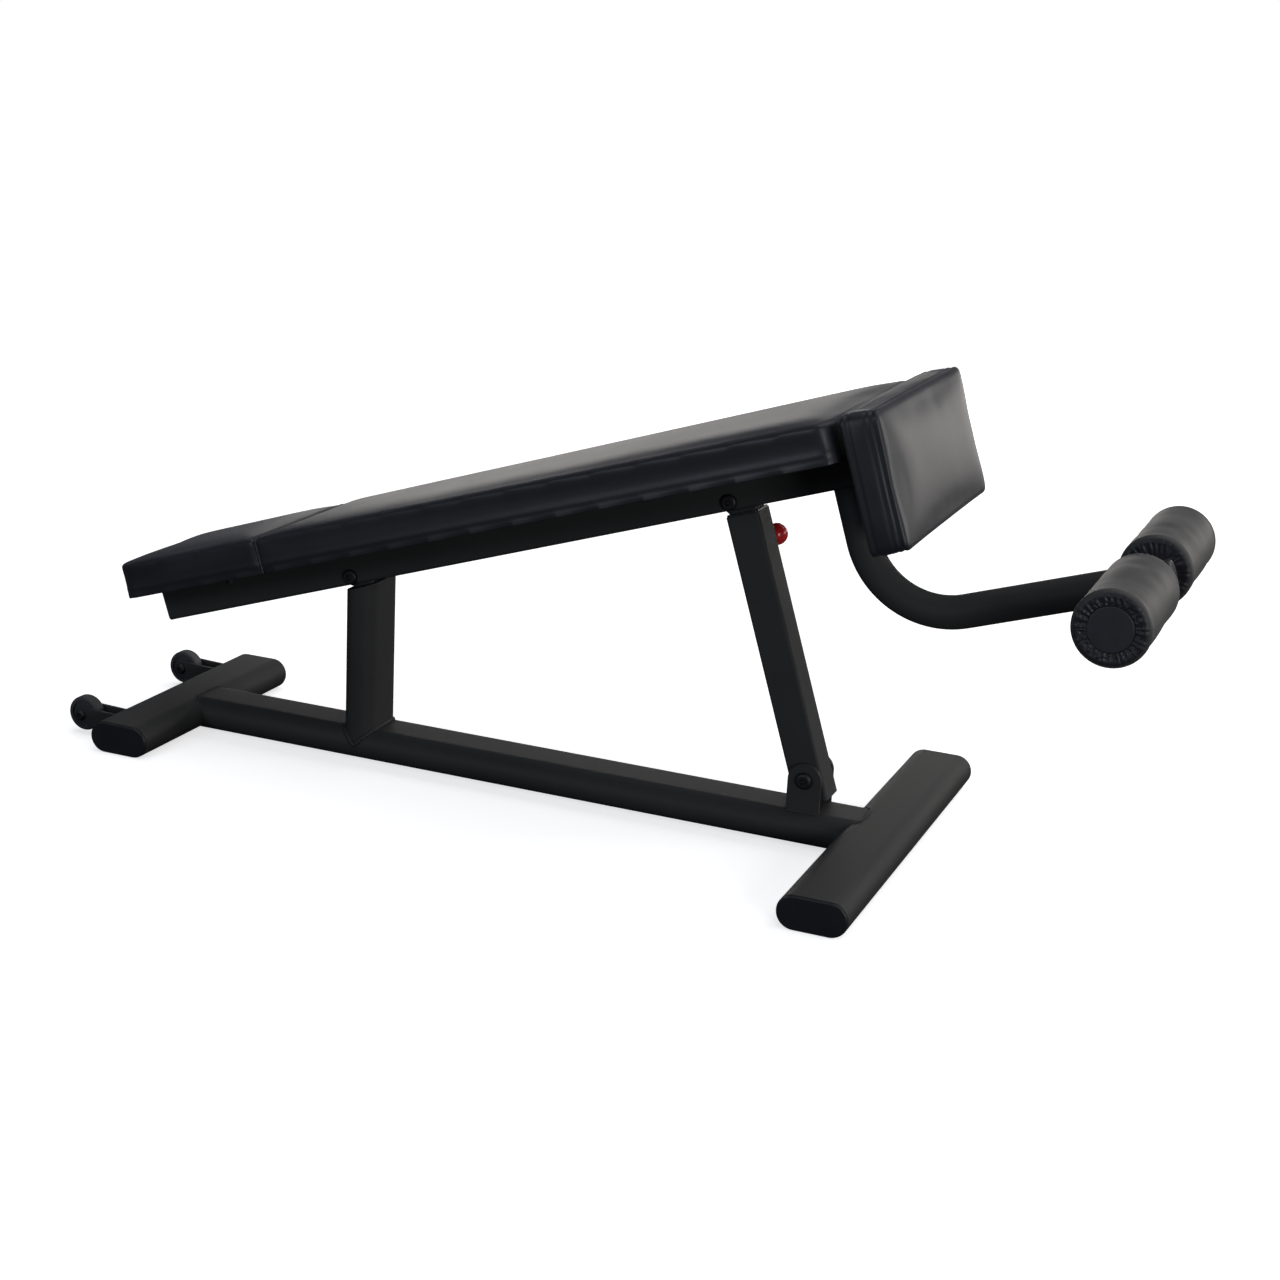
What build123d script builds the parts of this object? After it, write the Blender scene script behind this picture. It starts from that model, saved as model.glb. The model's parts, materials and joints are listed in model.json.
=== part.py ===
from build123d import *
import math
import os

# Adjustable sit-up bench with foot rollers. Millimetres, +X towards the foot rollers, +Z up, and the floor is Z = 0.
# The frame is flat-oval tube; the padded bench turns on a bolt at the rear post and a telescopic strut holds it up.

# ------------------------------------------------------------------ driving dimensions
oval_width = 100.0              # flat-oval tube of the stabilisers, the rail and the post
oval_height = 50.0
oval_wall = 3.0
front_stabiliser_length = 660.0
rear_stabiliser_length = 418.0
stabiliser_spacing = 1164.0
cap_lip = 4.0                   # visible thickness of a tube cap

post_from_rear = 325.0          # rear stabiliser to the post's centre
pivot_from_rear = 304.5         # rear stabiliser to the bench's pivot bolt
pivot_height = 290.0
rest_tilt = 18.2                # bench angle at its lowest setting, degrees

beam_width = 60.0
beam_wall = 4.0
beam_bottom = -13.0             # heights of bench parts are square to the bench, from its pivot bolt
beam_top = 39.0
beam_rear = -344.5
beam_front = 879.0
pad_plate_thickness = 6.0
board_thickness = 12.0

pad_rear = -362.0               # the back cushion tapers towards the head
pad_seam = -80.0
pad_front = 872.0
pad_half_width_rear = 120.0
pad_half_width_front = 210.0
pad_height = 55.0
pad_corner = 34.0
cover_wrap = 8.0                # cushion that wraps round the edge of its board

thigh_half_width = 213.0
thigh_bottom = -90.0
thigh_top = 106.0
thigh_thickness = 55.0

arm_radius = 24.15
arm_wall = 3.2
arm_drop_at = 808.0             # place of the arm's upper leg along the beam
arm_depth = -216.0
arm_bend = 122.0
roller_at = 1184.0
roller_radius = 51.0
roller_inner = 52.0             # inner and outer ends of a roller, from the bench's middle plane
roller_outer = 268.0
axle_radius = 12.5

strut_at = 649.0
strut_size = 50.0
strut_wall = 3.0
strut_foot = -416.0             # lower strut pivot
strut_below = 36.0
strut_length = 430.0
inner_size = 40.0
inner_wall = 2.5
inner_bottom = -386.0
head_base = -18.0
upper_pivot_at = 637.0
hole_pitch = 44.25              # one setting of the strut, 4 degrees of bench
settings = 5
pin_height = -74.0

bolt_radius = 6.0
foot_bolt_radius = 8.0
running_gap = 0.05              # radial clearance of a turning fit

wheel_from_rear = 105.0
wheel_height = 32.5
wheel_radius = 27.5
wheel_width = 20.0
wheel_side = 140.0
fork_plate = 5.0
fork_gap = 24.0

# ------------------------------------------------------------------ the shared frame
tilt = math.radians(rest_tilt)
along = Vector(math.cos(tilt), 0, math.sin(tilt))
square = Vector(-math.sin(tilt), 0, math.cos(tilt))

# The origin lies on the floor under the middle of the whole bench.
roller_reach = pivot_from_rear + roller_at * math.cos(tilt) - arm_depth * math.sin(tilt) + roller_radius
wheel_reach = wheel_from_rear + wheel_radius
rear_x = (wheel_reach - roller_reach) / 2
front_x = rear_x + stabiliser_spacing
post_x = rear_x + post_from_rear
pivot = Vector(rear_x + pivot_from_rear, 0, pivot_height)
oval_middle = oval_height / 2

bench_top = Plane(origin=pivot, x_dir=along, z_dir=square)
bench_side = Plane(origin=pivot, x_dir=along, z_dir=(0, -1, 0))
foot_point = pivot + along * strut_at + square * strut_foot


def bench_section(distance):
    """Plane across the bench at a distance along it from the pivot."""
    return Plane(origin=pivot + along * distance, x_dir=(0, 1, 0), z_dir=along)


def side_plane(x, z):
    """Upright plane along the object, facing its right-hand side, -Y."""
    return Plane(origin=(x, 0, z), x_dir=(1, 0, 0), z_dir=(0, -1, 0))


def oval_section():
    SlotOverall(oval_width, oval_height)
    SlotOverall(oval_width - 2 * oval_wall, oval_height - 2 * oval_wall, mode=Mode.SUBTRACT)


# The outsides of the stabilisers and of the rail, to which other pieces are coped.
with BuildPart() as stabiliser_outsides:
    for x in (rear_x, front_x):
        with BuildSketch(side_plane(x, oval_middle)):
            SlotOverall(oval_width, oval_height)
        extrude(amount=front_stabiliser_length, both=True)

with BuildPart() as rail_outside:
    with BuildSketch(Plane.YZ.offset(rear_x)):
        with Locations((0, oval_middle)):
            SlotOverall(oval_width, oval_height)
    extrude(amount=stabiliser_spacing)


def pad_half_width(distance):
    share = (distance - pad_rear) / (pad_front - pad_rear)
    return pad_half_width_rear + share * (pad_half_width_front - pad_half_width_rear)


def pad_outline(rear, front, inset, corners):
    """Tapered outline of a cushion or its board, seen from above, with rounded corners at the named ends."""
    with BuildSketch() as outline:
        with BuildLine():
            Polyline(
                (rear + inset, -pad_half_width(rear) + inset),
                (front - inset, -pad_half_width(front) + inset),
                (front - inset, pad_half_width(front) - inset),
                (rear + inset, pad_half_width(rear) - inset),
                close=True,
            )
        make_face()
        ends = outline.vertices().sort_by(Axis.X)
        rounded = ends[:2] * ("rear" in corners) + ends[2:] * ("front" in corners)
        fillet(rounded, radius=pad_corner - inset)
    return outline.sketch


board_outline = pad_outline(pad_rear, pad_front, cover_wrap, ("rear", "front"))

os.makedirs("parts", exist_ok=True)

# ------------------------------------------------------------------ base frame
for name, x, length in (
    ("rear_stabiliser", rear_x, rear_stabiliser_length),
    ("front_stabiliser", front_x, front_stabiliser_length),
):
    with BuildPart() as stabiliser:
        with BuildSketch(side_plane(x, oval_middle)):
            oval_section()
        extrude(amount=length / 2 - cap_lip, both=True)
    stabiliser.part.label = name
    export_step(stabiliser.part, f"parts/{name}.step")

# End caps: a lip that closes the tube and a plug that grips inside it.
plug_length = 22.0
lip_inset = 0.8
plug_play = 0.2
for name, x, length in (
    ("rear_cap", rear_x, rear_stabiliser_length),
    ("front_cap", front_x, front_stabiliser_length),
):
    for hand, direction in (("right", -1), ("left", 1)):
        tube_end = direction * (length / 2 - cap_lip)
        end_plane = Plane(origin=(x, tube_end, oval_middle), x_dir=(1, 0, 0), z_dir=(0, direction, 0))
        with BuildPart() as cap:
            with BuildSketch(end_plane):
                SlotOverall(oval_width - 2 * lip_inset, oval_height - 2 * lip_inset)
            extrude(amount=cap_lip)
            outer_face = cap.faces().sort_by(Axis.Y)[-1 if direction > 0 else 0]
            fillet(outer_face.edges(), radius=2.0)
            inner_width = oval_width - 2 * (oval_wall + plug_play)
            inner_height = oval_height - 2 * (oval_wall + plug_play)
            with BuildSketch(end_plane):
                SlotOverall(inner_width, inner_height)
                SlotOverall(inner_width - 6, inner_height - 6, mode=Mode.SUBTRACT)
            extrude(amount=-plug_length)
        cap.part.label = f"{name}_{hand}"
        export_step(cap.part, f"parts/{name}_{hand}.step")

rail_start = 28.0               # the rail's coped ends stop short of the stabilisers' flat tops
with BuildPart() as base_rail:
    with BuildSketch(Plane.YZ.offset(rear_x + rail_start)):
        with Locations((0, oval_middle)):
            oval_section()
    extrude(amount=stabiliser_spacing - 2 * rail_start)
    add(stabiliser_outsides.part, mode=Mode.SUBTRACT)
base_rail.part.label = "base_rail"
export_step(base_rail.part, "parts/base_rail.step")

# The post's top is closed by a plate that slopes with the bench.
post_base = 34.0
cap_plate_top = -16.9
cap_plate_thickness = 4.0
with BuildPart() as rear_post:
    with BuildSketch(Plane.XY.offset(post_base)):
        with Locations((post_x, 0)):
            SlotOverall(oval_width, oval_height, rotation=90)
            SlotOverall(oval_width - 2 * oval_wall, oval_height - 2 * oval_wall, rotation=90, mode=Mode.SUBTRACT)
    extrude(amount=pivot_height)
    split(bisect_by=bench_top.offset(cap_plate_top - cap_plate_thickness), keep=Keep.BOTTOM)
    add(rail_outside.part, mode=Mode.SUBTRACT)
rear_post.part.label = "rear_post"
export_step(rear_post.part, "parts/rear_post.step")

with BuildPart() as post_top_plate:
    with BuildSketch(Plane.XY.offset(post_base)):
        with Locations((post_x, 0)):
            SlotOverall(oval_width, oval_height, rotation=90)
    extrude(amount=pivot_height)
    split(bisect_by=bench_top.offset(cap_plate_top), keep=Keep.BOTTOM)
    split(bisect_by=bench_top.offset(cap_plate_top - cap_plate_thickness), keep=Keep.TOP)
post_top_plate.part.label = "post_top_plate"
export_step(post_top_plate.part, "parts/post_top_plate.step")

# Pivot lug on the post, inside the beam's channel, with a pressed sleeve for the bolt.
lug_half_width = 24.0
lug_radius = 15.0
sleeve_wall = 2.0
with BuildPart() as pivot_lug:
    with BuildSketch(bench_side):
        Circle(lug_radius)
        with Locations((15, cap_plate_top + 1)):
            Rectangle(30, 2)
        make_hull()
        split(bisect_by=Plane.XZ.offset(-cap_plate_top), keep=Keep.BOTTOM)
    extrude(amount=lug_half_width, both=True)
    with BuildSketch(bench_side):
        Circle(bolt_radius + running_gap + sleeve_wall)
    extrude(amount=lug_half_width, both=True, mode=Mode.SUBTRACT)
pivot_lug.part.label = "pivot_lug"
export_step(pivot_lug.part, "parts/pivot_lug.step")

with BuildPart() as pivot_sleeve:
    with BuildSketch(bench_side):
        Circle(bolt_radius + running_gap + sleeve_wall)
        Circle(bolt_radius + running_gap, mode=Mode.SUBTRACT)
    extrude(amount=lug_half_width, both=True)
pivot_sleeve.part.label = "pivot_sleeve"
export_step(pivot_sleeve.part, "parts/pivot_sleeve.step")

# Clevis ears that carry the strut's foot.
ear_radius = 25.0
ear_thickness = 6.0
ear_inside = 26.0
ear_base = 44.0
for name, near in (("clevis_ear_right", ear_inside), ("clevis_ear_left", -ear_inside - ear_thickness)):
    with BuildPart() as clevis_ear:
        with BuildSketch(side_plane(foot_point.X, foot_point.Z).offset(near)):
            Circle(ear_radius)
            with Locations((0, (ear_base - foot_point.Z) / 2)):
                Rectangle(2 * ear_radius, foot_point.Z - ear_base)
            Circle(foot_bolt_radius + 0.1, mode=Mode.SUBTRACT)
        extrude(amount=ear_thickness)
        add(rail_outside.part, mode=Mode.SUBTRACT)
    clevis_ear.part.label = name
    export_step(clevis_ear.part, f"parts/{name}.step")


# ------------------------------------------------------------------ pivot bolts and nuts
def button_head(plane, radius, height):
    """Domed head with a hexagon socket, standing on a plane."""
    with BuildPart() as head:
        with BuildSketch(plane):
            Circle(radius)
        extrude(amount=height)
        outer_face = head.faces().sort_by(Axis(plane.origin, plane.z_dir))[-1]
        fillet(outer_face.edges(), radius=height * 0.7)
        with BuildSketch(plane.offset(height)):
            RegularPolygon(radius * 0.45, 6)
        extrude(amount=-height * 0.6, mode=Mode.SUBTRACT)
    return head.part


def cross_bolt(plane, half_width, shank_radius, head_radius, head_height, tail):
    """Bolt across the bench: head on the right-hand side, thread out of the left-hand side."""
    with BuildPart() as bolt:
        with BuildSketch(plane.offset(half_width)):
            Circle(shank_radius)
        extrude(amount=-2 * half_width - tail)
        add(button_head(plane.offset(half_width), head_radius, head_height))
    return bolt.part


def lock_nut(plane, half_width, shank_radius, across_flats, height):
    """Washer and locking nut on the bolt's left-hand end."""
    washer = 2.5
    with BuildPart() as nut:
        with BuildSketch(plane.offset(-half_width)):
            Circle(across_flats * 0.62)
            Circle(shank_radius, mode=Mode.SUBTRACT)
        extrude(amount=-washer)
        with BuildSketch(plane.offset(-half_width - washer)):
            RegularPolygon(across_flats / 2, 6, major_radius=False)
            Circle(shank_radius, mode=Mode.SUBTRACT)
        extrude(amount=-height * 0.75)
        with BuildSketch(plane.offset(-half_width - washer - height * 0.75)):
            Circle(across_flats * 0.44)
            Circle(shank_radius, mode=Mode.SUBTRACT)
        extrude(amount=-height * 0.25)
    return nut.part


foot_plane = side_plane(foot_point.X, foot_point.Z)
upper_pivot_plane = Plane(origin=pivot + along * upper_pivot_at, x_dir=along, z_dir=(0, -1, 0))
ear_outside = ear_inside + ear_thickness
for name, plane, half_width, shank, head, head_height, flats, nut_height in (
    ("rear_pivot", bench_side, beam_width / 2, bolt_radius, 12.0, 6.0, 19.0, 14.0),
    ("upper_pivot", upper_pivot_plane, beam_width / 2, bolt_radius, 12.0, 6.0, 19.0, 14.0),
    ("foot_pivot", foot_plane, ear_outside, foot_bolt_radius, 12.5, 7.0, 24.0, 18.0),
):
    bolt_part = cross_bolt(plane, half_width, shank, head, head_height, nut_height + 4)
    bolt_part.label = f"{name}_bolt"
    export_step(bolt_part, f"parts/{name}_bolt.step")
    nut_part = lock_nut(plane, half_width, shank, flats, nut_height)
    nut_part.label = f"{name}_nut"
    export_step(nut_part, f"parts/{name}_nut.step")

# ------------------------------------------------------------------ transport wheels
wheel_x = rear_x - wheel_from_rear
fork_end_radius = 13.0
fork_root_low = 9.0
fork_root_high = 43.0
wheel_bolt_radius = 5.0
for hand, side in (("right", 1), ("left", -1)):
    wheel_plane = side_plane(wheel_x, wheel_height).offset(side * wheel_side)
    with BuildPart() as wheel_fork:
        for start in (fork_gap / 2, -fork_gap / 2 - fork_plate):
            with BuildSketch(wheel_plane.offset(start)):
                Circle(fork_end_radius)
                with Locations((wheel_from_rear - 36, (fork_root_low + fork_root_high) / 2 - wheel_height)):
                    Rectangle(8, fork_root_high - fork_root_low)
                make_hull()
                Circle(wheel_bolt_radius + 0.1, mode=Mode.SUBTRACT)
            extrude(amount=fork_plate)
        add(stabiliser_outsides.part, mode=Mode.SUBTRACT)
    wheel_fork.part.label = f"wheel_fork_{hand}"
    export_step(wheel_fork.part, f"parts/wheel_fork_{hand}.step")

    with BuildPart() as wheel:
        with BuildSketch(wheel_plane):
            Circle(wheel_radius)
            Circle(wheel_bolt_radius + running_gap, mode=Mode.SUBTRACT)
        extrude(amount=wheel_width / 2, both=True)
        rims = wheel.edges().filter_by(GeomType.CIRCLE).filter_by(lambda edge: edge.radius > wheel_radius - 1)
        fillet(rims, radius=4.0)
        for face_side in (1, -1):
            with BuildSketch(wheel_plane.offset(face_side * wheel_width / 2)):
                Circle(wheel_radius - 7)
                Circle(wheel_bolt_radius + 4, mode=Mode.SUBTRACT)
            extrude(amount=-face_side * 3.0, mode=Mode.SUBTRACT)
    wheel.part.label = f"wheel_{hand}"
    export_step(wheel.part, f"parts/wheel_{hand}.step")

wheel_planes = [side_plane(wheel_x, wheel_height).offset(side * wheel_side) for side in (1, -1)]
fork_outside = fork_gap / 2 + fork_plate
with BuildPart() as wheel_bolts:
    for plane in wheel_planes:
        with BuildSketch(plane.offset(fork_outside)):
            Circle(wheel_bolt_radius)
        extrude(amount=-2 * fork_outside - 9)
        add(button_head(plane.offset(fork_outside), 8.5, 5.0))
wheel_bolts.part.label = "wheel_bolts"
export_step(wheel_bolts.part, "parts/wheel_bolts.step")

with BuildPart() as wheel_nuts:
    for plane in wheel_planes:
        with BuildSketch(plane.offset(-fork_outside)):
            RegularPolygon(8.5, 6, major_radius=False)
            Circle(wheel_bolt_radius, mode=Mode.SUBTRACT)
        extrude(amount=-8)
wheel_nuts.part.label = "wheel_nuts"
export_step(wheel_nuts.part, "parts/wheel_nuts.step")

# ------------------------------------------------------------------ bench beam
beam_height = beam_top - beam_bottom
beam_inside = beam_width / 2 - beam_wall
with BuildPart() as main_beam:
    with BuildSketch(bench_section(beam_rear)):
        with Locations((0, (beam_top + beam_bottom) / 2)):
            outline = Rectangle(beam_width, beam_height)
        fillet(outline.vertices().group_by(Axis.Z)[-1], radius=6.0)
        with Locations((0, (beam_top + beam_bottom) / 2 - beam_wall)):
            hollow = Rectangle(2 * beam_inside, beam_height, mode=Mode.SUBTRACT)
    extrude(amount=beam_front - beam_rear)
    with BuildSketch(bench_side):
        with Locations((0, 0), (upper_pivot_at, 0)):
            Circle(bolt_radius + 0.1)
    extrude(amount=beam_width, both=True, mode=Mode.SUBTRACT)
main_beam.part.label = "main_beam"
export_step(main_beam.part, "parts/main_beam.step")

end_plate_thickness = 4.0
with BuildPart() as beam_end_plate:
    with BuildSketch(bench_section(beam_rear - end_plate_thickness)):
        with Locations((0, (beam_top + beam_bottom) / 2)):
            outline = Rectangle(beam_width, beam_height)
        fillet(outline.vertices().group_by(Axis.Z)[-1], radius=6.0)
    extrude(amount=end_plate_thickness)
beam_end_plate.part.label = "beam_end_plate"
export_step(beam_end_plate.part, "parts/beam_end_plate.step")

# Plates that carry the back cushion's board, and their screws and inserts.
screw_radius = 4.0
screw_side = 68.0
plate_length = 50.0
plate_half_width = 86.0
plate_places = {"pad_plate_rear": -190.0, "pad_plate_middle": 300.0, "pad_plate_front": 745.0}
for name, place in plate_places.items():
    with BuildPart() as pad_plate:
        with BuildSketch(bench_top.offset(beam_top)):
            with Locations((place, 0)):
                RectangleRounded(plate_length, 2 * plate_half_width, 8.0)
            with Locations((place, screw_side), (place, -screw_side)):
                Circle(screw_radius + 0.5, mode=Mode.SUBTRACT)
        extrude(amount=pad_plate_thickness)
    pad_plate.part.label = name
    export_step(pad_plate.part, f"parts/{name}.step")

board_base = beam_top + pad_plate_thickness
insert_radius = 5.5
insert_flange = 10.0
flange_thickness = 1.5
back_screw_places = [(place, side * screw_side) for place in plate_places.values() for side in (1, -1)]
with BuildPart() as back_board:
    with BuildSketch(bench_top.offset(board_base)):
        add(board_outline)
        with Locations(*back_screw_places):
            Circle(insert_radius, mode=Mode.SUBTRACT)
    extrude(amount=board_thickness)
    with BuildSketch(bench_top.offset(board_base + board_thickness)):
        with Locations(*back_screw_places):
            Circle(insert_flange)
    extrude(amount=-flange_thickness, mode=Mode.SUBTRACT)
back_board.part.label = "back_board"
export_step(back_board.part, "parts/back_board.step")

# Plate on the beam's front end that carries the thigh cushion's board.
thigh_plate_base = beam_front
thigh_board_base = beam_front + pad_plate_thickness
thigh_middle = (thigh_bottom + thigh_top) / 2
thigh_screw_places = [(y, thigh_middle + h) for y in (62.0, -62.0) for h in (50.0, -50.0)]
with BuildPart() as thigh_plate:
    with BuildSketch(bench_section(thigh_plate_base)):
        with Locations((0, thigh_middle)):
            RectangleRounded(156.0, 132.0, 10.0)
        with Locations(*thigh_screw_places):
            Circle(screw_radius + 0.5, mode=Mode.SUBTRACT)
    extrude(amount=pad_plate_thickness)
thigh_plate.part.label = "thigh_plate"
export_step(thigh_plate.part, "parts/thigh_plate.step")

with BuildPart() as thigh_board:
    with BuildSketch(bench_section(thigh_board_base)):
        with Locations((0, thigh_middle)):
            RectangleRounded(2 * (thigh_half_width - cover_wrap), thigh_top - thigh_bottom - 2 * cover_wrap, 14.0)
        with Locations(*thigh_screw_places):
            Circle(insert_radius, mode=Mode.SUBTRACT)
    extrude(amount=board_thickness)
    with BuildSketch(bench_section(thigh_board_base + board_thickness)):
        with Locations(*thigh_screw_places):
            Circle(insert_flange)
    extrude(amount=-flange_thickness, mode=Mode.SUBTRACT)
thigh_board.part.label = "thigh_board"
export_step(thigh_board.part, "parts/thigh_board.step")


def board_fastener(plane, places, inserts):
    """Hexagon screws through a plate, or the flanged inserts that they thread into."""
    with BuildPart() as fastener:
        if inserts:
            with BuildSketch(plane.offset(pad_plate_thickness)):
                with Locations(*places):
                    Circle(insert_radius)
                    Circle(screw_radius, mode=Mode.SUBTRACT)
            extrude(amount=board_thickness)
            with BuildSketch(plane.offset(pad_plate_thickness + board_thickness)):
                with Locations(*places):
                    Circle(insert_flange)
                    Circle(screw_radius, mode=Mode.SUBTRACT)
            extrude(amount=-flange_thickness)
        else:
            with BuildSketch(plane):
                with Locations(*places):
                    Circle(screw_radius)
            extrude(amount=pad_plate_thickness + board_thickness - 1)
            with BuildSketch(plane):
                with Locations(*places):
                    Circle(2.1 * screw_radius)
            extrude(amount=-1.6)
            with BuildSketch(plane.offset(-1.6)):
                with Locations(*places):
                    RegularPolygon(6.5, 6, major_radius=False)
            extrude(amount=-5.3)
    return fastener.part


for name, plane, places, inserts in (
    ("back_pad_screws", bench_top.offset(beam_top), back_screw_places, False),
    ("back_board_inserts", bench_top.offset(beam_top), back_screw_places, True),
    ("thigh_pad_screws", bench_section(thigh_plate_base), thigh_screw_places, False),
    ("thigh_board_inserts", bench_section(thigh_plate_base), thigh_screw_places, True),
):
    fastener_part = board_fastener(plane, places, inserts)
    fastener_part.label = name
    export_step(fastener_part, f"parts/{name}.step")

# ------------------------------------------------------------------ cushions
seam_gap = 0.5
top_round = 14.0
for name, rear, front, rounded_end in (
    ("head_pad", pad_rear, pad_seam - seam_gap, "rear"),
    ("back_pad", pad_seam + seam_gap, pad_front, "front"),
):
    with BuildPart() as cushion:
        with BuildSketch(bench_top.offset(board_base)):
            add(pad_outline(rear, front, 0, (rounded_end,)))
        extrude(amount=pad_height)
        top_face = cushion.faces().sort_by(Axis(pivot, square))[-1]
        fillet(top_face.edges(), radius=top_round)
        with BuildSketch(bench_top.offset(board_base)):
            add(board_outline)
        extrude(amount=board_thickness, mode=Mode.SUBTRACT)
    cushion.part.label = name
    export_step(cushion.part, f"parts/{name}.step")

with BuildPart() as thigh_pad:
    with BuildSketch(bench_section(thigh_board_base)):
        with Locations((0, thigh_middle)):
            RectangleRounded(2 * thigh_half_width, thigh_top - thigh_bottom, 18.0)
    extrude(amount=thigh_thickness)
    front_face = thigh_pad.faces().sort_by(Axis(pivot, along))[-1]
    fillet(front_face.edges(), radius=top_round)
    with BuildSketch(bench_section(thigh_board_base)):
        with Locations((0, thigh_middle)):
            RectangleRounded(2 * (thigh_half_width - cover_wrap), thigh_top - thigh_bottom - 2 * cover_wrap, 14.0)
    extrude(amount=board_thickness, mode=Mode.SUBTRACT)
thigh_pad.part.label = "thigh_pad"
export_step(thigh_pad.part, "parts/thigh_pad.step")

# ------------------------------------------------------------------ roller arm and foot rollers
arm_end = roller_at + 30.0
arm_top = beam_top - beam_wall
with BuildPart() as roller_arm:
    with BuildLine(bench_side) as arm_path:
        FilletPolyline((arm_drop_at, arm_top), (arm_drop_at, arm_depth), (arm_end, arm_depth), radius=arm_bend)
    with BuildSketch(Plane(origin=arm_path.line @ 0, z_dir=arm_path.line % 0)):
        Circle(arm_radius)
        Circle(arm_radius - arm_wall, mode=Mode.SUBTRACT)
    sweep()
    with BuildSketch(bench_side):
        with Locations((roller_at, arm_depth)):
            Circle(axle_radius)
    extrude(amount=2 * arm_radius, both=True, mode=Mode.SUBTRACT)
roller_arm.part.label = "roller_arm"
export_step(roller_arm.part, "parts/roller_arm.step")

arm_end_plane = Plane(
    origin=pivot + along * arm_end + square * arm_depth,
    x_dir=(0, 1, 0),
    z_dir=along,
)
with BuildPart() as arm_end_cap:
    with BuildSketch(arm_end_plane):
        Circle(arm_radius)
    extrude(amount=5.0)
    fillet(arm_end_cap.faces().sort_by(Axis(pivot, along))[-1].edges(), radius=3.5)
    with BuildSketch(arm_end_plane):
        Circle(arm_radius - arm_wall - plug_play)
    extrude(amount=-12.0)
arm_end_cap.part.label = "arm_end_cap"
export_step(arm_end_cap.part, "parts/arm_end_cap.step")

roller_plane = Plane(
    origin=pivot + along * roller_at + square * arm_depth,
    x_dir=along,
    z_dir=(0, -1, 0),
)
axle_end = roller_outer - 14.0
with BuildPart() as roller_axle:
    with BuildSketch(roller_plane):
        Circle(axle_radius)
    extrude(amount=axle_end, both=True)
roller_axle.part.label = "roller_axle"
export_step(roller_axle.part, "parts/roller_axle.step")

collar_width = 8.0
with BuildPart() as axle_collars:
    for side in (1, -1):
        with BuildSketch(roller_plane.offset(side * (roller_inner - 2.0))):
            Circle(18.0)
            Circle(axle_radius, mode=Mode.SUBTRACT)
        extrude(amount=-side * collar_width)
    collar_rims = axle_collars.edges().filter_by(GeomType.CIRCLE).filter_by(lambda edge: edge.radius > 17.0)
    chamfer(collar_rims, length=1.0)
axle_collars.part.label = "axle_collars"
export_step(axle_collars.part, "parts/axle_collars.step")

washer_thickness = 2.5
with BuildPart() as axle_end_screws:
    for side in (1, -1):
        with BuildSketch(roller_plane.offset(side * axle_end)):
            Circle(16.0)
        extrude(amount=side * washer_thickness)
        with BuildSketch(roller_plane.offset(side * (axle_end + washer_thickness))):
            Circle(9.0)
        extrude(amount=side * 5.5)
    screw_rims = axle_end_screws.edges().filter_by(GeomType.CIRCLE).filter_by(lambda edge: edge.radius < 9.5)
    chamfer(screw_rims.group_by(Axis.Y)[0] + screw_rims.group_by(Axis.Y)[-1], length=1.0)
axle_end_screws.part.label = "axle_end_screws"
export_step(axle_end_screws.part, "parts/axle_end_screws.step")

sleeve_radius = 17.0
cap_radius = 30.0
roller_cap_thickness = 5.0
for hand, side in (("right", 1), ("left", -1)):
    with BuildPart() as roller_sleeve:
        with BuildSketch(roller_plane.offset(side * (roller_inner - 1.5))):
            Circle(sleeve_radius)
            Circle(axle_radius + running_gap, mode=Mode.SUBTRACT)
        extrude(amount=side * (axle_end - roller_inner + 0.5))
    roller_sleeve.part.label = f"roller_sleeve_{hand}"
    export_step(roller_sleeve.part, f"parts/roller_sleeve_{hand}.step")

    with BuildPart() as foot_roller:
        with BuildSketch(roller_plane.offset(side * roller_inner)):
            Circle(roller_radius)
        extrude(amount=side * (roller_outer - roller_inner))
        fillet(foot_roller.edges().filter_by(GeomType.CIRCLE), radius=8.0)
        with BuildSketch(roller_plane.offset(side * roller_inner)):
            Circle(sleeve_radius)
        extrude(amount=side * (roller_outer - roller_inner), mode=Mode.SUBTRACT)
        with BuildSketch(roller_plane.offset(side * roller_outer)):
            Circle(cap_radius)
        extrude(amount=-side * roller_cap_thickness, mode=Mode.SUBTRACT)
    foot_roller.part.label = f"foot_roller_{hand}"
    export_step(foot_roller.part, f"parts/foot_roller_{hand}.step")

    with BuildPart() as roller_cap:
        with BuildSketch(roller_plane.offset(side * (roller_outer - roller_cap_thickness))):
            Circle(cap_radius)
        extrude(amount=side * roller_cap_thickness)
        outer_face = roller_cap.faces().sort_by(Axis.Y)[0 if side > 0 else -1]
        fillet(outer_face.edges(), radius=1.5)
    roller_cap.part.label = f"roller_cap_{hand}"
    export_step(roller_cap.part, f"parts/roller_cap_{hand}.step")

# ------------------------------------------------------------------ telescopic strut, lower tube
strut_bottom = strut_foot - strut_below
strut_top = strut_bottom + strut_length
strut_corner = 4.0
sleeve_outer = foot_bolt_radius + running_gap + sleeve_wall
pin_radius = 5.0
with BuildPart() as strut_tube:
    with BuildSketch(bench_top.offset(strut_bottom)):
        with Locations((strut_at, 0)):
            RectangleRounded(strut_size, strut_size, strut_corner)
            RectangleRounded(strut_size - 2 * strut_wall, strut_size - 2 * strut_wall, 1.5, mode=Mode.SUBTRACT)
    extrude(amount=strut_length)
    with BuildSketch(bench_side):
        with Locations((strut_at, strut_foot)):
            Circle(sleeve_outer)
    extrude(amount=strut_size, both=True, mode=Mode.SUBTRACT)
    with BuildSketch(bench_side):
        with Locations((strut_at, pin_height)):
            Circle(pin_radius + 0.3)
    extrude(amount=-strut_size, mode=Mode.SUBTRACT)
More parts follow.
